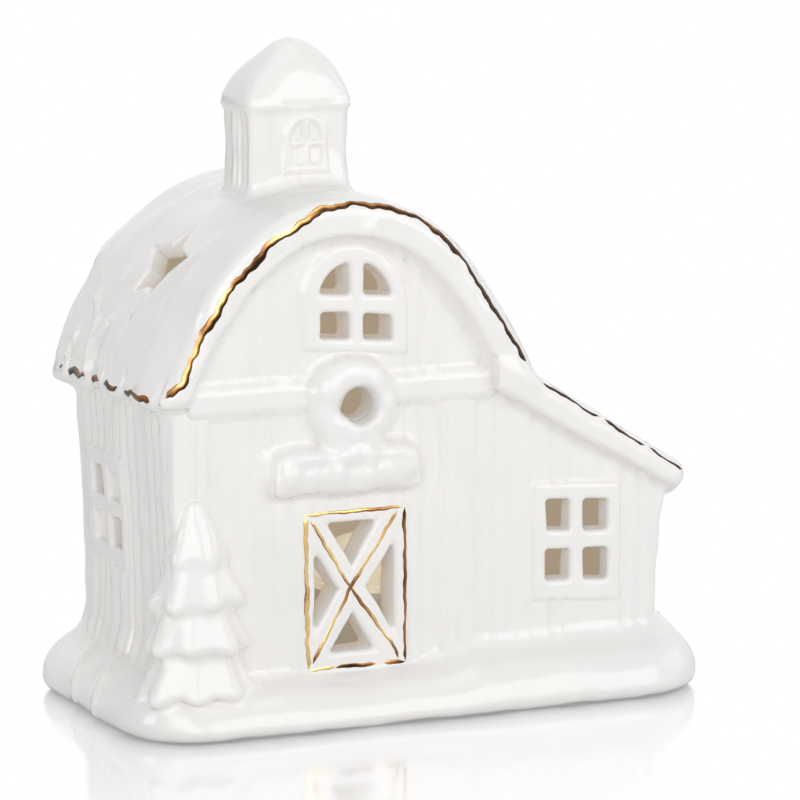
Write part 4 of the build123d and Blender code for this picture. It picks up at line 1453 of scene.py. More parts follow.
@dataclass(frozen=True)
class Trim:
    """Beam, posts, wreath, bow and snow ledge on the front.

    Each bump of the ledge gives its place across and up, its half width and its half height.
    """

    beam_low: float = 70.6
    beam_high: float = 77.4
    beam_ends: Pair = (-56.0, 18.0)
    beam_proud: float = 1.4
    beam_round: float = 2.2
    beam_coves: Pair = (2.2, 2.8)
    post_half: float = 3.8
    post_x: Pair = (-55.7, 8.6)
    post_ends: Pair = (9.5, 71.5)
    post_proud: float = 0.35
    post_cove: float = 1.8
    root: float = 0.8
    ring_x: float = -17.5
    ring_radius: float = 6.8
    ring_wide: float = 3.4
    ring_deep: float = 2.7
    leaves: int = 11
    bow_out: float = 3.6
    bow_cove: float = 1.5
    knot: Pair = (-16.8, 66.4)
    knot_radii: Triple = (1.8, 1.4, 1.8)
    loop_x: Pair = (-20.0, -13.6)
    loop_z: float = 67.4
    loop_radii: Triple = (2.9, 1.4, 1.9)
    ledge_ends: Pair = (-36.6, -1.9)
    ledge_proud: float = 3.6
    ledge_round: float = 2.4
    ledge_root: float = 0.5
    ledge_cove: float = 2.2
    lump_deep: float = 4.0
    ledge_bumps: Rows = (
        (-32.6, 57.2, 4.0, 4.2),
        (-28.0, 56.9, 4.2, 4.0),
        (-22.4, 56.6, 4.6, 4.3),
        (-15.0, 56.2, 5.2, 4.2),
        (-8.2, 56.9, 4.8, 4.6),
        (-4.4, 57.6, 3.0, 3.4),
        (-29.0, 60.4, 7.0, 2.0),
        (-7.0, 60.6, 4.2, 2.2),
        (-17.0, 60.6, 6.5, 3.4),
    )

    def beam(self, p: Points) -> Array:
        """Level beam with soft edges, cut by the wreath's hole.

        Args:
            p: Points.
        Returns:
            Signed distance.
        """
        x, y, z = p
        face = PLAN.front - self.beam_proud - y + 0.2 * np.sin(0.35 * x)
        face = all_of(face, span(x, *self.beam_ends))
        bar = round_meet(span(z, self.beam_low, self.beam_high), face, self.beam_round)
        return all_of(bar, y - PLAN.front - self.root, -OPEN.wreath_round(x, z))

    def beam_dressed(self, p: Points) -> Array:
        """Beam with fillets on to the wall and the roof."""
        dressed = apron(self.beam(p), *zip((WALLS.front(p), ROOFS.main(p)), self.beam_coves))
        return all_of(dressed, -OPEN.wreath_round(p[0], p[2]))

    def posts(self, p: Points) -> Array:
        """Two upright boards with a soft grain.

        Args:
            p: Points.
        Returns:
            Signed distance.
        """
        x, y, z = p
        grain = 0.12 * np.sin(1.9 * x + 0.6 * np.sin(0.2 * z)) + 0.06 * np.sin(4.1 * x)
        face = PLAN.front - self.post_proud - y - grain
        near = any_of(*(np.abs(x - middle) for middle in self.post_x)) - self.post_half
        return all_of(meet(near, face, 1.2), y - PLAN.front - self.root, span(z, *self.post_ends))

    def posts_dressed(self, p: Points) -> Array:
        """Posts with small fillets."""
        return apron(self.posts(p), (WALLS.front(p), self.post_cove))

    def wreath(self, p: Points) -> Array:
        """Fat ring of soft uneven leaves round the hole: sines give each leaf its place and size.

        Args:
            p: Points.
        Returns:
            Signed distance.
        """
        x, y, z = p
        u, v = x - self.ring_x, z - OPEN.wreath_z
        out = (np.hypot(u, v) - self.ring_radius) / self.ring_wide
        ring = (np.hypot(out, (y - PLAN.front + 1.2) / self.ring_deep) - 1.0) * self.ring_deep
        for leaf in range(self.leaves):
            turn = 2.0 * math.pi * leaf / self.leaves + 0.16 * math.sin(2.1 * leaf)
            away = 7.0 + 0.7 * math.sin(3.7 * leaf + 0.4)
            size = 2.9 + 0.35 * math.sin(5.1 * leaf)
            radii = (size, 2.8 + 0.4 * math.sin(1.7 * leaf), size)
            left, up = self.ring_x + away * math.cos(turn), OPEN.wreath_z + away * math.sin(turn)
            ring = join(ring, pebble(p, (left, PLAN.front - 1.5, up), radii), 2.0)
        return ring

    def hole(self, p: Points) -> Array:
        """Hole in the wreath, which widens to the front."""
        return OPEN.wreath_round(p[0], p[2]) - 0.5 * ramp(PLAN.front - 1.0, PLAN.front - 6.0, p[1])

    def wreath_dressed(self, p: Points) -> Array:
        """Wreath with a fillet, its hole kept open.

        Args:
            p: Points.
        Returns:
            Signed distance.
        """
        host = any_of(WALLS.front(p), self.beam(p), self.ledge(p))
        body = meet(apron(self.wreath(p), (host, 2.6)), -self.hole(p), 1.9)
        return all_of(body, p[1] - PLAN.front - 1.5)

    def bow(self, p: Points) -> Array:
        """Knot, two loops and two tails at the wreath's foot.

        Args:
            p: Points.
        Returns:
            Signed distance.
        """
        x, y, z = p
        front = PLAN.front - self.bow_out
        knot = pebble(p, (self.knot[0], front - 0.3, self.knot[1]), self.knot_radii)
        loops = any_of(*(pebble(p, (middle, front, self.loop_z), self.loop_radii) for middle in self.loop_x))
        tails = any_of(limb(x, z, (-17.2, 65.8), (-19.4, 60.6)), limb(x, z, (-16.4, 65.8), (-14.2, 59.6)))
        tails = np.hypot(tails / 1.5, (y - front - 0.4) / 1.4) - 1.0
        return join(join(knot, loops, 1.2), tails, 1.4)

    def bow_dressed(self, p: Points) -> Array:
        """Bow with a fillet on to the wreath and the ledge."""
        host = any_of(self.wreath(p), self.ledge(p))
        return meet(apron(self.bow(p), (host, self.bow_cove)), -self.hole(p), 1.2)

    def ledge(self, p: Points) -> Array:
        """Lumps of snow on a shelf over the door.

        Args:
            p: Points.
        Returns:
            Signed distance.
        """
        x, y, z = p
        back = y - PLAN.front - self.ledge_root
        face = PLAN.front - self.ledge_proud - y + 0.25 * np.sin(0.5 * x)
        up = span(z, 52.0 + 0.3 * np.sin(0.4 * x), 58.0)
        bar = all_of(round_meet(up, all_of(face, span(x, *self.ledge_ends)), self.ledge_round), back)
        for middle, height, wide, tall in self.ledge_bumps:
            lump = pebble(p, (middle, PLAN.front - 1.2, height), (wide, self.lump_deep, tall))
            bar = join(bar, all_of(lump, back), 1.5)
        return bar

    def ledge_dressed(self, p: Points) -> Array:
        """Ledge with a fillet on to the wall."""
        return apron(self.ledge(p), (WALLS.front(p), self.ledge_cove))

    def castings(self) -> list[Casting]:
        """Beam, posts, wreath, bow and ledge.

        Returns:
            Their castings.
        """
        face = PLAN.front
        return [
            Casting("gable_beam", self.beam_dressed, (-62, face - 5.4, 65), (22, face + 1.5, 82), 0.4),
            Casting("corner_posts", self.posts_dressed, (-62, face - 2.2, 9), (14, face + 1.4, 72.5), 0.4),
            Casting("wreath", self.wreath_dressed, (-32, face - 7.4, 57), (-2, face + 2, 87), 0.36),
            Casting("wreath_bow", self.bow_dressed, (-25, face - 7.8, 56), (-9, face - 1.5, 70), 0.26),
            Casting("snow_ledge", self.ledge_dressed, (-43, face - 7.4, 48), (3, face + 1, 67), 0.4),
        ]


TRIM = Trim()


@dataclass(frozen=True)
class Frames:
    """Pierced door and the three four-pane windows."""

    proud: float = 0.9
    door_proud: float = 0.4
    door_foot: float = 10.0
    blind: float = 0.6
    deep: float = 7.0
    shallow: float = 4.3
    skin: float = 2.0
    soft: float = 1.3
    corner: float = 0.8
    cove: float = 1.3
    side_cove: float = 1.2

    def door(self, p: Points) -> Array:
        """Door panel with four triangles cut through it, narrower towards the inside.

        Args:
            p: Points.
        Returns:
            Signed distance.
        """
        x, y, z = p
        depth = PLAN.front - y
        wide = span(x - PLAN.trim_x, -OPEN.door_half, OPEN.door_half)
        edge = all_of(wide, span(z, self.door_foot, OPEN.door_high))
        body = all_of(round_meet(edge, depth - self.door_proud, 0.6), -depth - self.deep)
        return meet(body, OPEN.draft * depth - OPEN.door_holes(x, z), self.soft)

    def pane_frame(self, edge: Array, depth: Array, cut: Array, inside: float) -> Array:
        """Window frame in a wall, its panes narrower towards the inside.

        Args:
            edge: Field of the frame's outline.
            depth: Distance outside the wall's face.
            cut: Field of the panes.
            inside: How deep the frame goes into the wall.
        Returns:
            The field.
        """
        body = all_of(round_meet(edge, depth - self.proud, 1.0), -depth - inside)
        return meet(body, OPEN.draft * depth - cut, self.soft)

    def lean_to(self, p: Points) -> Array:
        """Window in the lean-to's front, which leans a little to the right.

        Args:
            p: Points.
        Returns:
            Signed distance.
        """
        x, y, z = p
        depth = PLAN.front - y
        u = x - OPEN.lean_x
        tilted = z + OPEN.lean_tilt * u
        size = (OPEN.lean_half, OPEN.lean_low, OPEN.lean_high)
        cut = OPEN.panes(u, tilted, *size)
        body = self.pane_frame(panel(u, tilted, *size, self.corner), depth, cut, self.shallow)
        return apron(body, (all_of(WALLS.front(p), -self.skin - depth), self.cove))

    def side(self, p: Points) -> Array:
        """Window in the left wall: two panes open and the two across from them blind.

        Args:
            p: Points.
        Returns:
            Signed distance.
        """
        x, y, z = p
        depth = PLAN.left - x + WALLS.left_waist(z)
        u = y - OPEN.side_y
        size = (OPEN.side_half, OPEN.side_low, OPEN.side_high)
        panes = OPEN.panes(u, z, *size)
        middle = 0.5 * (OPEN.side_low + OPEN.side_high)
        cut = np.where(u * (z - middle) > 0.0, panes, all_of(panes, -self.blind - depth))
        body = self.pane_frame(panel(u, z, *size, self.corner), depth, cut, PLAN.wall)
        return apron(body, (all_of(WALLS.left(p), -self.skin - depth), self.side_cove))

    def gable(self, p: Points) -> Array:
        """Arched window in the gable.

        Args:
            p: Points.
        Returns:
            Signed distance.
        """
        x, y, z = p
        depth = PLAN.front - y
        body = self.pane_frame(OPEN.arched(x, z, 0.0, 0.0), depth, OPEN.gable_panes(x, z), self.deep)
        return apron(body, (all_of(WALLS.front(p), -self.skin - depth), self.cove))

    def castings(self) -> list[Casting]:
        """Door and windows.

        Returns:
            Their castings.
        """
        near, inner = PLAN.front - 2.4, PLAN.front + self.deep + 0.4
        return [
            Casting("barn_door", self.door, (-30, near, 9.5), (-2.5, inner, 48.6), 0.32),
            Casting("lean_to_window", self.lean_to, (26, near, 20), (51.6, inner, 51.4), 0.34),
            Casting("side_window", self.side, (-63, -2.5, 30), (-55.4, 22.5, 59.4), 0.34),
            Casting("gable_window", self.gable, (-31, near, 80), (-1.5, inner, 109), 0.34),
        ]


FRAMES = Frames()


@dataclass(frozen=True)
class Base:
    """Snowy foot that falls away from the walls, with folds, a foot ring and the light's hole.

    Each fold gives its two ends in the top view, its width and its height.
    """

    fall: float = 0.36
    rim: float = 0.7
    hole: float = 17.5
    seat: float = 21.5
    seat_top: float = 3.6
    brow_round: float = 6.0
    foot_round: float = 3.0
    back_drift: float = 4.0
    left_drift: float = 0.9
    right_drift: float = 8.0
    folds: Rows = (
        (-61.0, 14.0, -71.5, 5.0, 1.2, 1.5),
        (-61.5, -3.0, -71.0, -8.0, 1.2, 1.5),
        (-66.0, 20.0, -72.0, 13.0, 3.4, -0.6),
        (-66.0, 4.0, -72.0, -2.0, 3.0, -0.6),
        (-62.0, 26.0, -69.0, 30.0, 2.6, 0.7),
        (60.5, 12.0, 71.0, 7.0, 3.0, 0.6),
        (60.5, -14.0, 71.0, -18.0, 3.0, 0.5),
        (60.5, 26.0, 70.0, 28.0, 3.0, 0.5),
        (20.0, -31.0, 34.0, -39.5, 4.0, 0.35),
        (-32.0, -31.0, -38.0, -39.5, 4.0, 0.45),
        (-24.0, 30.5, -30.0, 39.0, 3.5, 0.6),
        (12.0, 30.5, 20.0, 39.0, 3.5, 0.5),
    )

    @staticmethod
    def past(x: Array, y: Array, half_x: float, half_y: float) -> Array:
        """Distance outside a rectangle in the top view."""
        return np.hypot(np.maximum(np.abs(x) - half_x, 0.0), np.maximum(np.abs(y) - half_y, 0.0))

    def pillow(self, p: Points) -> Array:
        """Rounded foot before its fillets: a rounded rectangle under a top that falls outwards.

        Args:
            p: Points.
        Returns:
            Signed distance.
        """
        x, y, z = p
        corner = PLAN.base_corner
        out = self.past(x, y, PLAN.base_half_x - corner, PLAN.base_half_y - corner)
        edge = out - corner + 0.55 + 0.2 * np.sin(0.17 * x + 0.3) * np.sin(0.21 * y)
        edge = edge + 0.4 * ramp(20.0, -60.0, x) - 0.2 * ramp(0.0, 60.0, x)
        clear = self.past(x, y, PLAN.right, PLAN.back)
        pile = 2.6 * ramp(-2.0, 12.0, x) * ramp(-20.0, -26.0, y) + 1.0 * ramp(-57.0, -61.0, x)
        drift = sum(ridge(x, y, row) for row in self.folds)
        top = z - PLAN.snow - pile + self.fall * clear * (1.0 + 0.1 * pile) - drift
        top = top - 0.2 * np.sin(0.16 * x + 1.0) * np.cos(0.2 * y)
        body = round_meet(edge - 0.3 * drift, top, self.brow_round)
        ring = PLAN.foot - self.rim * ramp(-9.0, -6.0, edge)
        return round_meet(body, ring - z, self.foot_round)

    def dressed(self, p: Points) -> Array:
        """Foot with drifts up the walls, hollow inside, with the light's hole.

        Args:
            p: Points.
        Returns:
            Signed distance.
        """
        x, y, z = p
        soft = 0.8 + 2.6 * ramp(-3.0, 5.0, x) + 1.6 * ramp(-29.5, -34.0, x)
        skirt = apron(
            self.pillow(p),
            (any_of(WALLS.front(p), FRAMES.door(p)), soft),
            (WALLS.back(p), self.back_drift),
            (WALLS.left(p), self.left_drift),
            (WALLS.right(p), self.right_drift),
        )
        reach = np.hypot(x, y)
        hole = any_of(reach - self.hole, all_of(reach - self.seat, z - self.seat_top))
        return meet(all_of(skirt, -PLAN.hall(p)), -hole, 0.6)

    def castings(self) -> list[Casting]:
        """The snowy foot."""
        wide, deep = PLAN.base_half_x + 0.4, PLAN.base_half_y + 0.4
        return [Casting("snow_base", self.dressed, (-wide, -deep, 0.0), (wide, deep, 23), 0.6)]


BASE = Base()


@dataclass(frozen=True)
class PineTree:
    """Four snowy skirts on a tree that wraps the corner.

    Each skirt gives the heights of its top and hem, its radius at the hem, its lobes, their turn and
    the power of the slope, which is less than one where the skirt bulges.
    """

    x: float = -54.4
    y: float = -29.0
    flat: float = 0.69
    tip: float = 52.7
    tip_round: float = 1.4
    hem_round: float = 3.0
    skirt_join: float = 3.2
    wall_cove: float = 0.7
    snow_cove: float = 1.8
    skirts: Rows = (
        (52.9, 39.4, 7.6, 5, 0.4, 0.64),
        (51.0, 29.4, 11.0, 6, 1.9, 0.95),
        (44.0, 19.6, 12.6, 7, 0.9, 0.95),
        (37.0, 9.0, 13.8, 8, 2.2, 0.95),
    )

    def skirt(self, reach: Array, angle: Array, z: Array, sizes: Sequence[float]) -> Array:
        """One skirt: a cone whose lobes grow and hang lower towards the hem.

        Args:
            reach: Distance from the trunk's axis.
            angle: Direction round the axis.
            z: Points up.
            sizes: Top, hem, radius, lobes, turn and power.
        Returns:
            Field of the skirt.
        """
        top, hem, radius, lobes, turn, power = sizes
        share = np.clip((top - z) / (top - hem), 0.0, 1.15)
        wave = np.cos(lobes * angle + turn) + 0.4 * np.sin((lobes - 2.0) * angle + 2.0 * turn)
        wide = radius * (0.94 * share**power + 0.06 * share**3 + 0.045 * wave * share**2)
        return meet(0.85 * (reach - wide), hem - 0.6 * wave - z, self.hem_round)

    def field(self, p: Points) -> Array:
        """The skirts joined, with a blunt tip.

        Args:
            p: Points.
        Returns:
            Signed distance.
        """
        x, y, z = p
        u, v = x - self.x, (y - self.y) / self.flat
        reach, angle = np.hypot(u, v), np.arctan2(v, u)
        skirts = [self.skirt(reach, angle, z, sizes) for sizes in self.skirts]
        tree = reduce(lambda upper, lower: join(upper, lower, self.skirt_join), skirts)
        return self.flat * meet(tree, z - self.tip, self.tip_round)

    def dressed(self, p: Points) -> Array:
        """Tree with fillets on to the walls, the post and the snow."""
        walls = any_of(WALLS.front(p), WALLS.left(p), TRIM.posts(p))
        return apron(self.field(p), (walls, self.wall_cove), (BASE.pillow(p), self.snow_cove))

    def castings(self) -> list[Casting]:
        """The tree."""
        return [Casting("pine_tree", self.dressed, (-70.5, -40.4, 5), (-34, -14, 55.5), 0.4)]


# Gold lines


@dataclass(frozen=True)
class Gilding:
    """Hand-painted lines: ribbons that hug the porcelain.

    The verge's line and the lean-to's lines are polylines across and up, and the eave's dashes give
    their two ends along the roof.
    """

    thick: float = 0.13
    lift: float = -0.02
    sink: float = 0.2
    lanes: int = 7
    passes: int = 12
    longest: float = 0.6
    pitch: float = 0.3
    verge_inset: float = 0.7
    verge: Rows = (
        (-63, 76.5), (-59, 79), (-57, 83), (-55.2, 88.3), (-53.2, 90.6), (-50.3, 95), (-47, 100.5),
        (-44.4, 102), (-41.3, 105.4), (-38.3, 108.6), (-35.2, 110.7), (-33.6, 110.6), (-30, 113.2),
        (-26.5, 115.4), (-23, 116), (-17.5, 117.2), (-12.3, 116.4), (-7, 115), (-1, 112.5), (2.8, 108.8),
        (9.3, 102.6), (12.6, 97), (18, 88.2), (25.4, 77.2),
    )
    # Tones along each stroke: the lustre's own unevenness and painted reflection, light where the gold would
    # mirror a lamp and dark where it would mirror shade.
    verge_tones: tuple[float, ...] = (
        0.35, 0.75, 0.85, 0.3, 0.9, 0.2, 0.2, 0.85, 0.6, 0.5, 0.25, 0.5, 0.15, 0.3, 0.2, 0.1, 0.12, 0.1, 0.1,
        0.1, 0.1,
    )
    lean_lines: tuple[Rows, ...] = (
        ((28.6, 74.6), (35.7, 69.9), (43.0, 65.0)),
        ((43.9, 64.4), (52.0, 59.3), (54.6, 57.8)),
        ((55.4, 57.3), (60.0, 54.6), (65.2, 51.4)),
    )
    lean_tones: tuple[float, ...] = (0.1, 0.1)
    dashes: Rows = ((26.0, 23.6), (20.2, 7.6), (6.0, 0.4), (-3.2, -11.6), (-14.4, -28.6), (-30.4, -32.4))
    dash_x: float = -66.4
    dash_z: float = 75.5
    dash_tones: tuple[float, ...] = (0.1, 0.1, 0.3, 0.15)

    def ribbon(
        self, path: Array, width: Array, tone: Array, shape: Shape, seed: float, fold: float
    ) -> Surface:
        """Lens-shaped stroke along a path on the porcelain.

        Across the stroke the height is the thickness times one less the square of the share of
        the half width, and the ends close to a point.

        Args:
            path: Rows of points near the surface.
            width: Half width at each point.
            tone: Brightness of the gold at each point, from 0 to 1, which holds painted reflection as well
                as the lustre's own tone.
            shape: Porcelain's field.
            seed: Phase of the uneven edges.
            fold: How much painted shade darkens the side that turns to the front.
        Returns:
            A closed surface.
        """
        path, normal = settle(shape, path, self.passes, self.longest)
        across = unit(np.cross(normal, unit(np.gradient(path, axis=0))))
        run = np.concatenate([[0.0], np.cumsum(np.linalg.norm(np.diff(path, axis=0), axis=1))])
        shift = width.mean() * (0.24 * np.sin(0.8 * run + seed) + 0.14 * np.sin(1.9 * run + 2.0 * seed))
        lane = np.linspace(-1.0, 1.0, self.lanes)
        offset = width[:, None] * lane[None] + shift[:, None]
        flat = path[:, None] + offset[..., None] * across[:, None]
        hug, face = settle(shape, flat.reshape(-1, 3), self.passes, self.longest)
        hug, face = hug.reshape(flat.shape), face.reshape(flat.shape)
        height = self.thick * (1.0 - lane**2)[None] * np.minimum(width / width.max(), 1.0)[:, None]
        top = hug + (height + self.lift)[..., None] * face
        under = hug - self.sink * face
        rim = np.concatenate([top, under[:, ::-1]], axis=1)
        count, around = rim.shape[:2]
        row = np.arange(count - 1)[:, None] * around
        j = np.arange(around)[None]
        k = (j + 1) % around
        sides = np.stack([row + j, row + k, row + around + k, row + around + j], axis=-1)
        half = np.arange(self.lanes - 1)
        first = np.stack([half + 1, half, around - 1 - half, around - 2 - half], axis=1)
        final = first[:, ::-1] + (count - 1) * around
        faces = np.concatenate([sides.reshape(-1, 4), first, final])
        side = np.concatenate([lane, lane[::-1]])[None]
        # Painted reflection across the stroke: the side that turns up is brighter and, by the fold, the side
        # that turns to the front darker; the edges are darker too.
        shade = tone[:, None] * (1.2 - 0.6 * side**2) * (1.0 - fold * ramp(0.3, -0.3, side)) + 0.1 * side
        return Surface(rim.reshape(-1, 3), faces, None, {"tone": shade.ravel()})

    def stroke(self, corners: Sequence[Sequence[float]], y: float) -> Array:
        """Even points along a polyline drawn in the front view.

        Args:
            corners: Polyline's x and z.
            y: Depth where the points start.
        Returns:
            Rows of points.
        """
        line = np.array(corners, float)
        length = np.concatenate([[0.0], np.cumsum(np.hypot(*np.diff(line, axis=0).T))])
        run = np.linspace(0.0, length[-1], max(int(length[-1] / self.pitch), 4))
        x, z = (np.interp(run, length, column) for column in line.T)
        return np.stack([x, np.full_like(x, y), z], axis=1)

    @staticmethod
    def merge(parts: Sequence[Surface]) -> Surface:
        """Several surfaces as one mesh.

        Args:
            parts: The surfaces.
        Returns:
            The mesh of all.
        """
        shift = np.cumsum([0] + [len(part.points) for part in parts[:-1]])
        faces = np.concatenate([part.faces + start for part, start in zip(parts, shift)])
        tone = np.concatenate([part.layers["tone"] for part in parts])
        return Surface(np.concatenate([part.points for part in parts]), faces, None, {"tone": tone})

    @staticmethod
    def taper(count: int, wide: float, seed: float, swing: float = 0.16) -> Array:
        """Half widths of an uneven stroke that thins at its ends: two sines and a clipped slope.

        Args:
            count: Number of points.
            wide: Mean half width.
            seed: Phase of the unevenness.
            swing: Share that the width swings by.
        Returns:
            Half width at each point.
        """
        t = np.linspace(0.0, 1.0, count)
        rough = 1.0 + swing * np.sin(0.11 * count * t + seed)
        rough = rough + 0.5 * swing * np.sin(0.31 * count * t + 2.0 * seed)
        ends = np.clip(np.minimum(t, 1.0 - t) * count / 5.0, 0.15, 1.0)
        return wide * rough * ends

    def painted(
        self, path: Array, wide: float, seed: float, tones: Sequence[float], shape: Shape, fold: float = 0.0
    ) -> Surface:
        """Uneven stroke whose tone runs through a list of values from end to end.

        Args:
            path: Rows of points near the surface.
            wide: Mean half width.
            seed: Phase of the unevenness.
            tones: Tones, evenly spread along the stroke, with painted light and dark reflection in them.
            shape: Porcelain's field.
            fold: How much painted shade darkens the side that turns to the front.
        Returns:
            A closed surface.
        """
        tone = np.interp(np.linspace(0.0, 1.0, len(path)), np.linspace(0.0, 1.0, len(tones)), tones)
        return self.ribbon(path, self.taper(len(path), wide, seed), tone, shape, seed, fold)

    def door_lines(self) -> Surface:
        """Outline and cross on the door, bright on the left and dark brown on the right: painted reflection
        over the lustre's own tone.

        Returns:
            The lines' mesh.
        """
        centre = PLAN.trim_x
        left, right = centre - 12.1, centre + 11.9
        low, high = OPEN.door_low + 1.0, OPEN.door_high - 0.6
        half, lintel = 0.5 * (low + high), high + 0.1
        falling = ((-27.2, 46.2), (-22.0, 37.6), (-17.5, 30.0), (-11.6, 22.0), (-6.4, 15.0), (-5.6, 12.6))
        rising = ((-6.0, 46.6), (-11.8, 38.0), (-17.4, 30.1), (-21.6, 22.4), (-24.7, 17.0), (-26.9, 13.2))
        strokes = (
            (((left, high), (left + 0.3, half), (left + 0.6, low)), 0.58, 0.3, (0.8, 0.85, 0.6, 0.85, 0.8)),
            (((right, high), (right + 0.2, half), (right + 0.4, low)), 0.5, 1.7, (0.15, 0.4, 0.3, 0.5, 0.2)),
            (((left, high), (centre, lintel), (right, lintel)), 0.5, 2.9, (0.85, 0.5, 0.7, 0.3, 0.6)),
            (((left + 0.6, low), (centre - 5.0, low + 0.2)), 0.46, 4.1, (0.9, 0.85, 0.8, 0.3)),
            (((centre - 5.4, low + 0.2), (centre + 5.0, low + 0.1)), 0.46, 5.2, (0.1, 0.15, 0.4)),
            (((centre + 6.6, low), (right + 0.4, low)), 0.55, 0.8, (0.6, 0.3, 0.05)),
            (falling, 0.42, 5.0, (0.5, 0.55, 0.8, 0.25, 0.5, 0.8, 0.2)),
            (rising, 0.42, 0.9, (0.5, 0.6, 0.75, 0.2, 0.6, 0.9, 0.2)),
        )
        face = PLAN.front - FRAMES.door_proud
        return self.merge(
            [
                self.painted(self.stroke(corners, face), wide, seed, tones, FRAMES.door)
                for corners, wide, seed, tones in strokes
            ]
        )

    def roof_lines(self) -> Surface:
        """Line along the front edges of both roofs, and dashes along the left eave.

        Returns:
            The lines' mesh.
        """
        near = self.verge_inset - PLAN.verge
        # The verge's line gets painted shade on the side that turns to the front.
        ribbons = [self.painted(self.stroke(self.verge, near), 0.9, 0.4, self.verge_tones, ROOFS.main, 0.75)]
        for seed, corners in enumerate(self.lean_lines):
            path = self.stroke(corners, near)
            ribbons.append(self.painted(path, 0.6, 1.3 * seed, self.lean_tones, ROOFS.lean_to))
        for seed, (start, end) in enumerate(self.dashes):
            y = np.linspace(start, end, max(int(abs(end - start) / self.pitch), 6))
            z = self.dash_z + 0.5 * np.sin(0.9 * y)
            path = np.stack([np.full_like(y, self.dash_x), y, z], axis=1)
            ribbons.append(self.painted(path, 0.85, 0.7 * seed, self.dash_tones, ROOFS.main))
        return self.merge(ribbons)

    def build(self) -> None:
        """Make the two gold pieces."""
        for name, made in (("door_gilding", self.door_lines()), ("roof_gilding", self.roof_lines())):
            finish_piece(made, name, Finish.GOLD)


# Light unit


@dataclass(frozen=True)
class LightUnit:
    """Battery light: the CAD pieces with soft edges and their finishes."""

    bevel: float = 0.25
    segments: int = 2
    finishes: tuple[tuple[str, Finish], ...] = (
        ("foot_pads", Finish.RUBBER),
        ("light_housing", Finish.PLASTIC),
        ("sealing_ring", Finish.SILICONE),
        ("battery_cells", Finish.CELL),
        ("spring_contact", Finish.BRASS),
        ("plate_contact", Finish.BRASS),
        ("circuit_board", Finish.BOARD),
        ("led_bulb", Finish.LED),
        ("lamp_dome", Finish.CLEAR),
        ("battery_cover", Finish.PLASTIC),
        ("cover_screw", Finish.SCREW),
        ("switch_body", Finish.SWITCH),
        ("switch_knob", Finish.SWITCH),
    )

    def build(self) -> None:
        """Soften and dress the unit's nodes."""
        for name, finish in self.finishes:
            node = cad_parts[name]
            soften = node.modifiers.new("soft_edges", "BEVEL")
            soften.width = self.bevel * MM
            soften.segments = self.segments
            soften.limit_method = "ANGLE"
            dress(node, finish)
            log.info("%s: kept with a soft edge", name)


# Studio


@dataclass(frozen=True)
class Lamp:
    """Square soft light aimed at the house."""

    name: str
    place: Triple
    size: float
    power: float
    shine: bool = True
    aim: Triple = (0.0, 0.0, 0.06)

    def build(self) -> None:
        """Hang the light, which the glaze mirrors only where it may shine."""
        data = bpy.data.lights.new(self.name, "AREA")
        data.size = self.size
        data.energy = self.power
        thing = bpy.data.objects.new(self.name, data)
        thing.location = self.place
        thing.visible_glossy = self.shine
        thing.rotation_euler = (Vector(self.place) - Vector(self.aim)).to_track_quat("Z", "Y").to_euler()
        bpy.context.scene.collection.objects.link(thing)


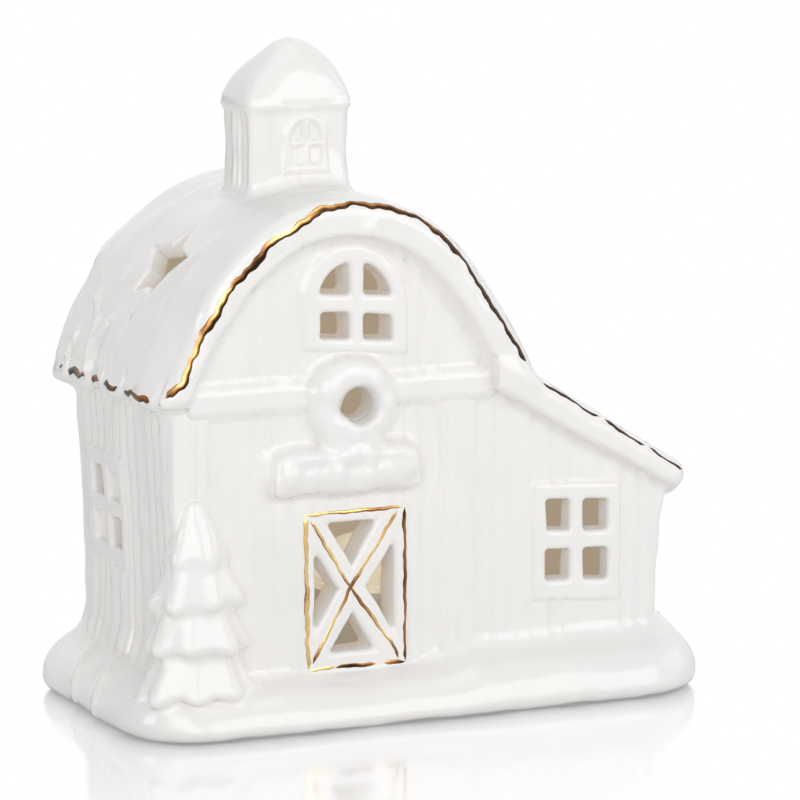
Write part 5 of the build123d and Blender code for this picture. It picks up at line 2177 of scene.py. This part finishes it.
@dataclass(frozen=True)
class Studio:
    """White sweep, soft lights and the photograph's camera."""

    azimuth: float = -24.5
    elevation: float = 9.8
    distance: float = 1.0485
    target: Triple = (0.0062, -0.0035, 0.0666)
    lens: float = 207.0
    sensor: float = 36.0
    far: float = 20.0
    floor_half: float = 3.0
    mirror: float = 0.7
    mirror_half: Pair = (0.06, 0.03)
    mirror_fade: Pair = (0.005, 0.1)
    mirror_rough: float = 0.1
    fill: float = 0.25
    sky: Colour = (0.96, 0.97, 1.0, 1.0)
    grey: Colour = (0.8, 0.8, 0.8, 1.0)
    lamps: tuple[Lamp, ...] = (
        Lamp("key_light", (0.45, -0.95, 0.45), 0.8, 3.9),
        Lamp("front_light", (-0.5, -0.95, 0.45), 0.8, 4.2),
        Lamp("left_light", (-1.0, -0.1, 0.2), 0.4, 1.5),
        Lamp("right_light", (1.0, -0.2, 0.5), 0.6, 0.9),
        Lamp("top_light", (0.0, -0.1, 1.1), 0.8, 1.6),
        Lamp("back_light", (0.18, 0.7, 0.9), 0.6, 5.4, False),
    )

    def camera(self) -> None:
        """Place the camera."""
        data = bpy.data.cameras.new("camera")
        data.lens = self.lens
        data.sensor_width = self.sensor
        data.clip_end = self.far
        thing = bpy.data.objects.new("camera", data)
        a, e = math.radians(self.azimuth), math.radians(self.elevation)
        back = Vector((math.sin(a) * math.cos(e), -math.cos(a) * math.cos(e), math.sin(e)))
        thing.location = Vector(self.target) + back * self.distance
        thing.rotation_euler = back.to_track_quat("Z", "Y").to_euler()
        bpy.context.scene.collection.objects.link(thing)
        bpy.context.scene.camera = thing

    def floor(self) -> None:
        """White floor that mirrors the house softly, less with the distance from its foot."""
        half = self.floor_half
        points = np.array([(-half, -half, 0), (half, -half, 0), (half, half, 0), (-half, half, 0)]) / MM
        thing = Surface(points, np.array([[0, 1, 2, 3]])).place("floor")
        s = Shader(bpy.data.materials.new("floor_white"))
        spot = s.node("SeparateXYZ", None, Vector=s.place())
        far = [s.math("ABSOLUTE", spot.port(axis)) - half for axis, half in enumerate(self.mirror_half)]
        across, deep = (s.math("MAXIMUM", distance) for distance in far)
        away = s.math("SQRT", across * across + deep * deep)
        matt = s.node("BsdfDiffuse", None, Color=self.grey)
        glow = s.node("Emission", None, Color=WHITE, Strength=1.0)
        gloss = s.node("BsdfGlossy", None, Color=WHITE, Roughness=self.mirror_rough)
        share = s.ramp(away, *self.mirror_fade, self.mirror, 0.0)
        seen = s.node("MixShader", None, i0=share, i1=glow, i2=gloss)
        eye = s.node("LightPath").port("Is Camera Ray")
        both = s.node("MixShader", None, i0=eye, i1=matt, i2=seen)
        s.node("OutputMaterial", None, Surface=both)
        thing.data.materials.append(s.owner)

    def world(self) -> None:
        """White surround: soft light on the house, pure white to the camera and in mirrors."""
        s = Shader(bpy.data.worlds.new("studio"))
        path = s.node("LightPath")
        seen = s.math("MAXIMUM", path.port("Is Camera Ray"), path.port("Is Glossy Ray"))
        soft = s.node("Background", None, Color=self.sky, Strength=self.fill)
        white = s.node("Background", None, Color=WHITE, Strength=1.0)
        s.node("OutputWorld", None, Surface=s.node("MixShader", None, i0=seen, i1=soft, i2=white))
        bpy.context.scene.world = s.owner

    def build(self) -> None:
        """Set up the view, the surround and the lights."""
        bpy.context.scene.view_settings.view_transform = "Standard"
        self.world()
        self.floor()
        for lamp in self.lamps:
            lamp.build()
        self.camera()


def main() -> None:
    """Build the barn, its light and the studio."""
    logging.basicConfig(level=logging.INFO, format="%(message)s")
    groups = (BASE, WALLS, ROOFS, Cupola(), TRIM, FRAMES, PineTree())
    castings = [casting for group in groups for casting in group.castings()]
    with ThreadPoolExecutor(max_workers=4) as pool:
        surfaces = list(pool.map(Casting.solve, castings))
    for casting, made in zip(castings, surfaces):
        finish_piece(made, casting.name, Finish.PORCELAIN)
    Gilding().build()
    LightUnit().build()
    Studio().build()


if __name__ == "__main__":
    main()
